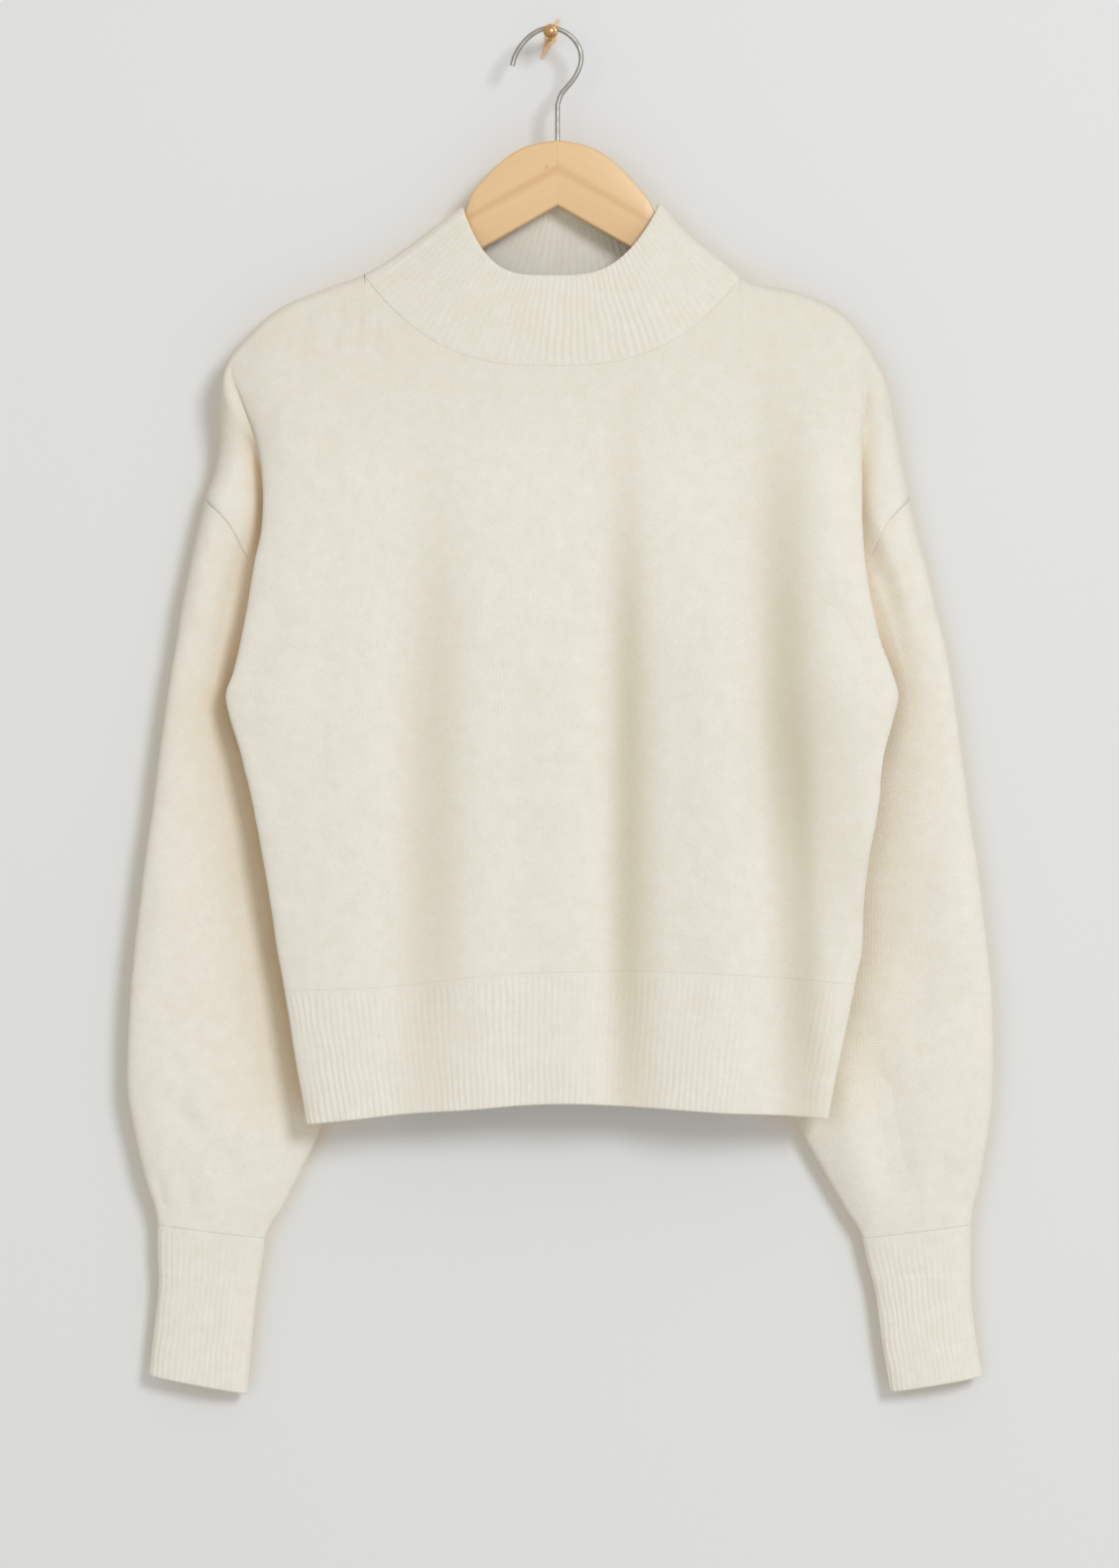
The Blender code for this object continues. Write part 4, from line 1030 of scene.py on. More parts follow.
    def body_point(self, t: Points, v: Points, front: bool) -> tuple[Points, Points, Points]:
        """Place and run of a point of the body between its two folds.

        Args:
            t: from -1 at the left fold to 1 at the right.
            v: the row.
            front: the front panel, or else the back.

        Returns:
            x, z and the run over the ridge.
        """
        share = (t + 1) / 2
        x_top = mix(self.break_left, self.break_right, share)
        in_neck = np.abs(x_top - self.neck_x) < self.neck_half
        z_top = self.top_line(x_top)
        run_top = np.where(in_neck, self.run_over(z_top - self.neck_z(x_top, front)), 0.0)
        left, right = self.fold_line["left"], self.fold_line["right"]
        seam_z, hem_z = self.side_seam_z, self.side_hem_z
        z_seam = self.rib_seam(mix(left(seam_z), right(seam_z), share))
        z_edge = self.hem_edge(mix(left(hem_z), right(hem_z), share))
        if not front:
            z_seam = mix(RIB_SEAM[1][1], RIB_SEAM[-1][1], share)
            z_edge = mix(HEM_EDGE[1][1], HEM_EDGE[-1][1], share) + self.back_hem_lift * (1 - t**2)
        run = mix(run_top, self.run_over(z_top - z_seam), np.minimum(v, 1.0))
        z = np.where(v > 1, mix(z_seam, z_edge, v - 1), z_top - self.drop_over(run))
        between_folds = mix(left(z), right(z), share)
        kept = (1 - t**4) * (1 - ease((self.neck_front_z - z) / self.fold_settle))
        return mix(between_folds, x_top, kept), z, self.run_over(z_top - z)

    def front_body(self, t: Points, v: Points) -> Points:
        """Front of the body between its two folds.

        Args:
            t: from -1 at the left fold to 1 at the right.
            v: the row.

        Returns:
            The points, as (x, depth, z) in mm.
        """
        x, z, run = self.body_point(t, v, True)
        rounding = (1 - np.abs(t) ** self.fold_rounding) ** (1 / self.fold_rounding)
        settled = ease((self.break_z - z) / self.fold_start)
        depth = self.front_depth(run) - self.fold_drop * settled * (1 - rounding)
        return np.stack([x, depth + self.soft_folds(FRONT_FOLDS, x, z) * rounding, z], -1)

    def armhole_row_z(self, side: Side, v: Points) -> Points:
        """Height of a side's seam on each row.

        Args:
            side: which side of the garment.
            v: the row.

        Returns:
            The heights, in mm.
        """
        fold_z = self.body_point(side.value, v, True)[1]
        groove_z = self.body_point(side.value, np.array(self.groove_v), True)[1]
        high = mix(self.armhole_top_z, groove_z, v / self.groove_v)
        return np.where(v < self.groove_v, high, fold_z)

    def front_side(self, side: Side, out: Points, v: Points) -> Points:
        """Front beside a fold: out is 0 on the fold and 1 on the seam, with a groove between.

        Args:
            side: which side of the garment.
            out: how far from the fold to the seam.
            v: the row.

        Returns:
            The points, as (x, depth, z) in mm.
        """
        sign, word = side.value, side.word
        fold = self.front_body(np.full(np.shape(v), sign), v)
        fold_x, fold_depth, fold_z = fold[..., 0], fold[..., 1], fold[..., 2]
        seam_z = self.armhole_row_z(side, v)
        z = mix(fold_z, seam_z, out)
        past = np.clip((out - self.groove_out) / (1 - self.groove_out), 0.0, 1.0)
        short = ease(out / self.groove_out)
        shown = self.armhole_front[word](seam_z)
        hidden = self.fold_line[word](seam_z) - sign * self.side_line["seam_in"](seam_z)
        behind = ease((v - self.behind_v) / self.behind_rows)
        seam_x = np.where(v < self.groove_v, shown, hidden)
        groove_x = fold_x - sign * self.side_line["groove_in"](fold_z)
        near = mix(fold_x, groove_x, short)
        x = np.where(out < self.groove_out, near, mix(groove_x, seam_x, past))
        top_z = mix(self.break_z, self.armhole_top_z, out)
        cap = self.cap_line[word]
        straight = mix(cap(self.break_z), cap(self.armhole_top_z), past)
        bow = np.clip(1 - v / self.groove_v, 0.0, 1.0) ** 2
        x = x + (cap(top_z) - straight) * bow
        reach = np.minimum(np.maximum((cap(z) - x) * sign, 0.0) / self.cap_radius, 1.0)
        ridge = mix(self.ridge_depth, self.cap_depth, ease((self.break_z - z) / self.cap_settle))
        crest = ridge + self.cap_swell * np.sqrt(1 - (1 - reach) ** 2)
        below = self.break_z - z - self.groove_start
        dip = self.groove_dip * ease(below / self.cap_settle) * (1 - bow)
        crest = crest - dip * np.exp(-(((x - groove_x) / self.groove_width) ** 2))
        low = mix(self.side_line["groove_depth"](z), self.side_line["seam_depth"](z), past)
        far = mix(crest, low, behind)
        depth = np.where(out < self.groove_out, mix(fold_depth, far, short), far)
        return np.stack([x, depth, z], -1)

    def front(self, c: Any, v: Any) -> Points:
        """The front of the body, with the front of both drop shoulders.

        Args:
            c: the column.
            v: the row.

        Returns:
            The points, as (x, depth, z) in mm.
        """
        c, v = np.broadcast_arrays(np.asarray(c, float), np.asarray(v, float))
        place = self.front_body(np.clip(c, -1.0, 1.0), v)
        out = np.clip(np.abs(c) - 1, 0.0, 1.0)
        for side in Side:
            beside = self.front_side(side, out, v)
            place = np.where((c * side.value > 1)[..., None], beside, place)
        return place

    def back_edge(self, side: Side, v: Points) -> tuple[Points, Points]:
        """Seam of the back panel on one side: the armhole, then the side seam, as x and z.

        Args:
            side: which side of the garment.
            v: the row.

        Returns:
            x and z, in mm.
        """
        share = v / self.foot_v
        z = self.armhole_row_z(side, v)
        foot = self.front(2 * side.value, np.array(self.foot_v))
        top_x = self.cap_line[side.word](self.armhole_top_z)
        x = mix(top_x, foot[..., 0], share) - side.value * self.armhole_back["in"](share)
        hole_z = mix(self.armhole_top_z, foot[..., 2], self.armhole_back["down"](share))
        side_x = self.fold_line[side.word](z) - side.value * self.side_line["seam_in"](z)
        in_hole = v < self.foot_v
        return np.where(in_hole, x, side_x), np.where(in_hole, hole_z, z)

    def back(self, c: Any, v: Any) -> Points:
        """The back of the body.

        Args:
            c: the column.
            v: the row.

        Returns:
            The points, as (x, depth, z) in mm.
        """
        c, v = np.broadcast_arrays(np.asarray(c, float), np.asarray(v, float))
        t = np.clip(c, -1.0, 1.0)
        out = np.clip(np.abs(c) - 1, 0.0, 1.0)
        _, z_body, run = self.body_point(t, v, False)
        x_top = mix(self.break_left, self.break_right, (t + 1) / 2)
        edge = {side: self.back_edge(side, v) for side in Side}
        cap_z = mix(self.break_z, self.armhole_top_z, out)
        left_cap, right_cap = self.cap_line["left"], self.cap_line["right"]
        cap_x = np.where(c < 0, left_cap(cap_z), right_cap(cap_z))
        x_start = np.where(out > 0, cap_x, x_top)
        far_left, far_right = left_cap(self.armhole_top_z), right_cap(self.armhole_top_z)
        across = (x_start - far_left) / (far_right - far_left)
        x = mix(edge[Side.LEFT][0], edge[Side.RIGHT][0], across)
        edge_x = np.where(c < 0, edge[Side.LEFT][0], edge[Side.RIGHT][0])
        edge_z = np.where(c < 0, edge[Side.LEFT][1], edge[Side.RIGHT][1])
        z = mix(z_body, edge_z, out)
        far_x = np.where(c < 0, far_left, far_right)
        run = mix(run, np.hypot(edge_x - far_x, edge_z - self.armhole_top_z), out)
        settle = ease((self.break_z - cap_z) / self.cap_settle)
        ridge = mix(self.ridge_depth, self.cap_depth, settle)
        settled = (self.back_depth_at(run) - self.back_depth) / (self.ridge_depth - self.back_depth)
        depth = self.back_depth + (ridge - self.back_depth) * settled
        for side in Side:
            lift = self.side_line["seam_depth"](z) - self.back_depth
            lift = lift * ease((self.back_lift_z - z) / self.back_lift_fade)
            away = np.abs(x - edge[side][0]) / self.back_side_reach
            depth = depth + lift * np.maximum(1 - away, 0.0) ** 2
        depth = depth - self.soft_folds(BACK_FOLDS, x, z) * 0.5
        return np.stack([x, depth, z], -1)

    def armhole_drop(self, surface: Callable[[Any, Any], Points], side: Side, v: Points) -> Points:
        """How much of its drop the armhole has made at each row of a panel, from 0 to 1."""
        z = surface(2 * side.value, v)[..., 2]
        return (z[0] - z) / (z[0] - z[-1])

    def armhole_loop(self, side: Side, around: Points) -> Points:
        """The armhole seam, by the same measure as a sleeve's.

        Args:
            side: which side of the garment.
            around: the places round it, from 0 to 2.

        Returns:
            The points, as (x, depth, z) in mm.
        """
        fine = np.linspace(0.0, self.foot_v, 400)
        front_row = np.interp(around, self.armhole_drop(self.front, side, fine), fine)
        back_row = np.interp(2 - around, self.armhole_drop(self.back, side, fine), fine)
        front = self.front(2 * side.value, front_row)
        back = self.back(2 * side.value, back_row)
        return np.where((around <= 1)[..., None], front, back)

    def sleeve(self, side: Side, around: Points, v: Points) -> Points:
        """A sleeve and its cuff.

        Args:
            side: which sleeve.
            around: 0 at the outer edge, over the front to 1 at the inner edge, and over the
                back to 2.
            v: 0 at the armhole, 1 at the cuff seam and 2 at the cuff's edge.

        Returns:
            The points.
        """
        size = curves(LEFT_SLEEVE if side is Side.LEFT else RIGHT_SLEEVE)
        at_front = around <= 1
        across = np.where(at_front, around, 2 - around)
        fullness = (2 * np.sqrt(across * (1 - across))) ** self.sleeve_flatness

        def ring(station: Points) -> Points:
            """The sleeve's own section at a station.

            Args:
                station: how far down the sleeve, as v.

            Returns:
                The points.
            """
            x = mix(size["outer_x"](station), size["inner_x"](station), across)
            z = mix(size["outer_z"](station), size["inner_z"](station), across)
            middle = mix(size["outer_depth"](station), size["inner_depth"](station), across)
            eased = ease((station - self.lean_start) / self.lean_span)
            lean = mix(self.sleeve_lean, self.cuff_lean, eased)
            front = size["swell"](station) * fullness * (1 - lean * across)
            back = (middle - self.sleeve_back_depth) * fullness
            return np.stack([x, middle + np.where(at_front, front, -back), z], -1)

        fade = np.clip(1 - v / self.armhole_fade, 0.0, 1.0) ** 2
        to_seam = self.armhole_loop(side, around) - ring(np.zeros_like(around))
        return ring(v) + to_seam * fade[..., None]

    def over_ridge(self, x: Points, run: Points, front: bool) -> Points:
        """A point of the collar, by the way over the ridge line to the front or the back."""
        depth = self.front_depth(run) if front else self.back_depth_at(run)
        return np.stack([x, depth, self.top_line(x) - self.drop_over(run)], -1)

    def collar_edge(self, front: bool, at_rim: bool) -> tuple[Points, Points, Points]:
        """Points along half of the collar's seam or rim: their share of its length, x and run.

        Args:
            front: the front half, or else the back.
            at_rim: the rim, or else the seam.

        Returns:
            The share, x in mm and the run in mm.
        """
        middle, half = (self.rim_x, self.rim_half) if at_rim else (self.neck_x, self.neck_half)
        x = middle - half * np.cos(np.linspace(0.0, np.pi, 900))
        z = self.rim_z(x, front) if at_rim else self.neck_z(x, front)
        run = self.run_over(self.top_line(x) - z)
        run[[0, -1]] = 0.0
        steps = np.linalg.norm(np.diff(self.over_ridge(x, run, front), axis=0), axis=1)
        share = np.concatenate([[0.0], np.cumsum(steps)])
        return share / share[-1], x, run

    def collar(self, front_shares: Points, back_shares: Points, up: Points) -> Points:
        """The collar from the neck seam (0) to its rim (1), round the front and then the back.

        Args:
            front_shares: places along the front, from left to right.
            back_shares: places along the back, from right to left.
            up: the rows.

        Returns:
            The points, as (x, depth, z) in mm.
        """
        halves = []
        for front, shares in ((True, front_shares), (False, 1 - back_shares)):
            seam_share, seam_x, seam_run = self.collar_edge(front, False)
            rim_share, rim_x, rim_run = self.collar_edge(front, True)
            low_x, low_run = (np.interp(shares, seam_share, of) for of in (seam_x, seam_run))
            high_x, high_run = (np.interp(shares, rim_share, of) for of in (rim_x, rim_run))
            rows = up[:, None]
            halves.append(
                self.over_ridge(mix(low_x, high_x, rows), mix(low_run, high_run, rows), front)
            )
        return np.concatenate(halves, axis=1)


FORM = Form()


def fold_shade(x: Points, z: Points) -> Points:
    """The share of painted shade on the front, by its folds, creases and shoulders, from 0 to 1.

    Args:
        x: places across, in mm.
        z: places up, in mm.

    Returns:
        The share.
    """
    # The light comes from the right, so a fold's shade lies a little to the left of it
    beside = x + FOLD_SHADE_SHIFT
    sunk = FORM.soft_folds(FRONT_FOLDS, beside, z)
    sunk = sunk + CREASE_SHADE * creases(FRONT_CREASES, beside, z)
    shoulders = SHOULDER_SHADE * ease((z - SHOULDER_SHADE_Z) / SHOULDER_SHADE_FADE)
    sunken = SUNKEN_SHADE * ease(-sunk / FULL_SHADE_DEPTH)
    return shoulders + sunken + creases(FRONT_SHADES, x, z)


# ---- Knitted walls ----


def line_lengths(points: Points, axis: int) -> Points:
    """How far along its grid line each point lies.

    Args:
        points: a grid of points.
        axis: 0 for the way down the rows, 1 for the way across the columns.

    Returns:
        The lengths from the first point of each line, in mm.
    """
    steps = np.linalg.norm(np.diff(points, axis=axis), axis=-1)
    start = np.zeros_like(np.take(steps, [0], axis=axis))
    return np.concatenate([start, np.cumsum(steps, axis=axis)], axis=axis)


def grid_share(grid: Points) -> Points:
    """How far down a grid each row lies, from 0 to 1."""
    return np.linspace(0.0, 1.0, grid.shape[0])[:, None]


def edge_crowded(count: int, length: float, first: float = 0.3) -> Points:
    """Shares from 0 to 1 with a few more close to both ends, for a rounded edge.

    Args:
        count: the number of even steps between the ends.
        length: the real length from 0 to 1, in mm.
        first: the distance of the nearest extra row from the end, in mm.

    Returns:
        The shares, in order.
    """
    extra = first / length * np.array([1.0, 2.2, 4.0])
    even = np.linspace(0.0, 1.0, count + 1)
    step = even[1]
    inner = even[(even > extra[-1] + 0.4 * step) & (even < 1 - extra[-1] - 0.4 * step)]
    return np.concatenate([[0.0], extra, inner, 1 - extra[::-1], [1.0]])


@dataclass
class Edge:
    """How one edge of a wall is finished: its corner rolls in by depth over width, in mm."""

    depth: float
    width: float


SEAM = Edge(0.5, 1.5)
FREE = Edge(1.2, 1.4)


def seam_shows(x: Points, z: Points) -> Points:
    """How plainly a linked seam shows at a place, from 0 to 1: most of it sinks in the nap.

    Args:
        x: places across, in mm.
        z: places up, in mm.

    Returns:
        The share of the seam's full depth.
    """
    shown = np.full(np.broadcast(x, z).shape, 0.03)
    for at_x, at_z, reach, share in SHOWN_SEAMS:
        near = np.exp(-(((x - at_x) ** 2 + (z - at_z) ** 2) / reach**2))
        shown = np.maximum(shown, share * near)
    return shown


@dataclass
class KnitWall:
    """One knitted piece: a grid of points on its outer face, with a wall's thickness behind it.

    Args:
        name: the piece's name.
        node: the solid that it stands for.
        grid: rows of (x, depth, z), in mm.
        closed: the rows run all round, as on a tube.
        wall: its thickness, in mm.
        outward: 1 or -1, for which side of the grid is out.
        flat: width and length of the cut, in metres.
        area: flat area of the cut in square metres, or None for a rectangle.
        rests_on: what it hangs from.
        inner_step: every how many rows and columns the inner face has a point.
        edges: finish of the first row, last row, first column and last column.
        fold: the share of painted shade from a soft fold at each point, from 0 to 1.
        hollow_shade: the share of warm painted shade deep in a narrow fold at each point, from 0 to
            1.
    """

    name: str
    node: str
    grid: Points
    closed: bool
    wall: float
    outward: float
    flat: tuple[float, float]
    area: float | None = None
    rests_on: tuple[str, ...] = ("hanger_left_arm", "hanger_right_arm")
    inner_step: tuple[int, int] = (3, 3)
    edges: tuple[Edge, Edge, Edge, Edge] = (SEAM, SEAM, SEAM, SEAM)
    seam_gap: float = 0.02
    relief: Points | None = None
    inner_relief: Points | None = None
    fold: Points | None = None
    hollow_shade: Points | None = None

    def slopes(self) -> Points:
        """Unit vectors square to the cloth, pointing out.

        Returns:
            One vector for each point of the grid.
        """
        down = np.gradient(self.grid, axis=0)
        if self.closed:
            across = (np.roll(self.grid, -1, 1) - np.roll(self.grid, 1, 1)) / 2
        else:
            across = np.gradient(self.grid, axis=1)
        square = np.cross(down, across) * self.outward
        return square / np.maximum(np.linalg.norm(square, axis=-1, keepdims=True), 1e-9)

    def edge_roll(self) -> Points:
        """How far each point sinks towards the middle of the wall near the edges.

        Returns:
            The depths, in mm.
        """
        down = line_lengths(self.grid, 0)
        distances = [down, down[-1:] - down]
        if not self.closed:
            across = line_lengths(self.grid, 1)
            distances += [across, across[:, -1:] - across]
        total = np.zeros(self.grid.shape[:2])
        for edge, distance in zip(self.edges, distances):
            left = np.clip(1 - distance / edge.width, 0.0, 1.0)
            depth = edge.depth
            if edge is SEAM:
                depth = depth * seam_shows(self.grid[..., 0], self.grid[..., 2])
            total = np.maximum(total, depth * (1 - np.sqrt(1 - left**2)))
        return total

    def pull_back(self) -> None:
        """Moves every edge in by half a seam gap, along the cloth."""
        grid = self.grid.copy()
        pairs = [((0, slice(None)), (1, slice(None))), ((-1, slice(None)), (-2, slice(None)))]
        if not self.closed:
            pairs += [((slice(None), 0), (slice(None), 1)), ((slice(None), -1), (slice(None), -2))]
        for edge, inside in pairs:
            toward = self.grid[inside] - self.grid[edge]
            length = np.maximum(np.linalg.norm(toward, axis=-1, keepdims=True), 1e-6)
            grid[edge] = grid[edge] + toward / length * self.seam_gap / 2
        self.grid = grid

    def cloth_places(self) -> Points:
        """Places on the flat cloth in metres, for the knit's pattern: across, then down.

        Returns:
            Two numbers for each point of the grid.
        """
        across = line_lengths(self.grid, 1)
        middle = across.shape[1] // 2
        typical = np.median(across - across[:, middle : middle + 1], axis=0)
        down = line_lengths(self.grid, 0)
        return np.stack(np.broadcast_arrays(typical[None, :], -down), -1) * MM

    def build(self, material: bpy.types.Material) -> bpy.types.Object:
        """Args:
            material: the knit's finish.

        Returns:
            The piece.
        """
        self.pull_back()
        slopes = self.slopes()
        roll = self.edge_roll()
        rise = np.zeros(roll.shape) if self.relief is None else self.relief
        inner_rise = np.zeros(roll.shape) if self.inner_relief is None else self.inner_relief
        outer = self.grid + slopes * (rise - roll)[..., None]
        inner = self.grid - slopes * (self.wall - inner_rise - roll)[..., None]
        rows, columns = roll.shape
        kept_rows = kept(rows, self.inner_step[0], False)
        kept_columns = kept(columns, self.inner_step[1], self.closed)
        places = self.cloth_places()
        outer_at = np.arange(rows * columns).reshape(rows, columns)
        inner_grid = inner[np.ix_(kept_rows, kept_columns)]
        inner_at = np.arange(inner_grid.shape[0] * inner_grid.shape[1])
        inner_at = inner_at.reshape(inner_grid.shape[:2]) + rows * columns
        points = np.concatenate([outer.reshape(-1, 3), inner_grid.reshape(-1, 3)])
        flat_places = np.concatenate(
            [places.reshape(-1, 2), places[np.ix_(kept_rows, kept_columns)].reshape(-1, 2)]
        )
        faces = quads(outer_at, self.closed)
        faces += [face[::-1] for face in quads(inner_at, self.closed)]
        faces += self.rims(outer_at, inner_at, kept_rows, kept_columns)
        if self.outward < 0:
            faces = [face[::-1] for face in faces]
        piece = new_mesh_object(self.name, metres(points), faces, material)
        write_places(piece, flat_places, "cloth")
        # Shares of painted shade, kept on the mesh for the knit's finish
        for word, shares in (("fold", self.fold), ("hollow_shade", self.hollow_shade)):
            shade = np.zeros(len(points), np.float32)
            if shares is not None:
                shade[: shares.size] = shares.ravel()
            layer = piece.data.attributes.new(word, "FLOAT", "POINT")
            layer.data.foreach_set("value", shade)
        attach(piece, "root")
        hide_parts(self.node)
        log.info("%s: %d faces", self.name, len(faces))
        return piece

    def rims(
        self, outer: Points, inner: Points, kept_rows: list[int], kept_columns: list[int]
    ) -> list[tuple[int, ...]]:
        """Triangles that close the wall along its edges.

        Args:
            outer: vertex numbers of the outer face.
            inner: vertex numbers of the inner face.
            kept_rows: rows that the inner face has.
            kept_columns: columns that the inner face has.

        Returns:
            The corners of each triangle.
        """
        columns = outer.shape[1]
        round_at = list(range(columns))
        inner_round_at = list(kept_columns)
        if self.closed:
            outer = np.concatenate([outer, outer[:, :1]], axis=1)
            inner = np.concatenate([inner, inner[:, :1]], axis=1)
            round_at.append(columns)
            inner_round_at.append(columns)
        back_at = [-place for place in reversed(round_at)]
        inner_back_at = [-place for place in reversed(inner_round_at)]
        faces = strip(outer[0][::-1], inner[0][::-1], back_at, inner_back_at)
        faces += strip(outer[-1], inner[-1], round_at, inner_round_at)
        if not self.closed:
            down_at = list(range(outer.shape[0]))
            up_at = [-place for place in reversed(down_at)]
            inner_up_at = [-place for place in reversed(kept_rows)]
            faces += strip(outer[:, 0], inner[:, 0], down_at, kept_rows)
            faces += strip(outer[::-1, -1], inner[::-1, -1], up_at, inner_up_at)
        return faces


def quads(at: Points, closed: bool) -> list[tuple[int, ...]]:
    """Quads over a grid of vertex numbers.

    Args:
        at: the numbers, in rows.
        closed: the rows run all round, as on a tube.

    Returns:
        The corners of each quad.
    """
    if closed:
        at = np.concatenate([at, at[:, :1]], axis=1)
    corners = (at[:-1, :-1], at[:-1, 1:], at[1:, 1:], at[1:, :-1])
    return [tuple(face) for face in np.stack(corners, -1).reshape(-1, 4).tolist()]


def kept(count: int, step: int, closed: bool) -> list[int]:
    """Every step-th index of a line of points, with both ends of an open line.

    Args:
        count: how many points the line has.
        step: every how many one is kept.
        closed: the line runs all round.

    Returns:
        The indices.
    """
    picked = list(range(0, count, step))
    if not closed and picked[-1] != count - 1:
        picked.append(count - 1)
    return picked


def strip(
    first: Points, second: Points, first_at: list[int], second_at: list[int]
) -> list[tuple[int, ...]]:
    """Triangles between two lines of vertex numbers with different spacing.

    Args:
        first: vertex numbers of one line.
        second: vertex numbers of the other.
        first_at: where those of the first stand along it.
        second_at: where those of the second stand.

    Returns:
        The corners of each triangle.
    """
    first, second = first.tolist(), second.tolist()
    faces: list[tuple[int, ...]] = []
    i = j = 0
    while i < len(first) - 1 or j < len(second) - 1:
        go_first = j == len(second) - 1
        if not go_first and i < len(first) - 1:
            go_first = first_at[i + 1] <= second_at[j + 1]
        if go_first:
            faces.append((first[i], first[i + 1], second[j]))
            i += 1
        else:
            faces.append((first[i], second[j + 1], second[j]))
            j += 1
    return faces


def new_mesh_object(
    name: str, points: Points, faces: list[tuple[int, ...]], material: bpy.types.Material
) -> bpy.types.Object:
    """A smooth-shaded mesh object in the scene.

    Args:
        name: the object's name.
        points: vertices in metres.
        faces: vertex numbers of each face.
        material: its only material.

    Returns:
        The object.
    """
    data = bpy.data.meshes.new(name)
    data.from_pydata([tuple(point) for point in points.tolist()], [], faces)
    data.shade_smooth()
    data.materials.append(material)
    made = bpy.data.objects.new(name, data)
    bpy.context.scene.collection.objects.link(made)
    return made


def write_places(piece: bpy.types.Object, places: Points, name: str) -> None:
    """Gives a mesh a UV map from one place for each vertex.

    Args:
        piece: the mesh object.
        places: two numbers for each vertex.
        name: the map's name.
    """
    layer = piece.data.uv_layers.new(name=name)
    corner_vertices = np.empty(len(piece.data.loops), dtype=np.int32)
    piece.data.loops.foreach_get("vertex_index", corner_vertices)
    layer.data.foreach_set("uv", places[corner_vertices].astype(np.float32).ravel())


def rib_wave(phase: Points, rise: float) -> Points:
    """Rounded ribs: 0 in the channels and the full rise on the ribs, at each whole turn."""
    return rise * ((1 - np.cos(2 * np.pi * phase)) / 2) ** 0.85


def even_columns(
    surface: Callable[[Any, Any], Points], v: float, first: float, last: float, count: int
) -> Points:
    """Columns evenly spaced along one row of a surface.

    Args:
        surface: gives points by column and row.
        v: the row.
        first: where the columns start.
        last: where they end.
        count: how many steps lie between.

    Returns:
        The columns, with both ends.
    """
    fine = np.linspace(first, last, 1600)
    steps = np.linalg.norm(np.diff(surface(fine, np.full_like(fine, v)), axis=0), axis=1)
    length = np.concatenate([[0.0], np.cumsum(steps)])
    return np.interp(np.linspace(0.0, length[-1], count + 1), length, fine)


# ---- Sub-assemblies ----


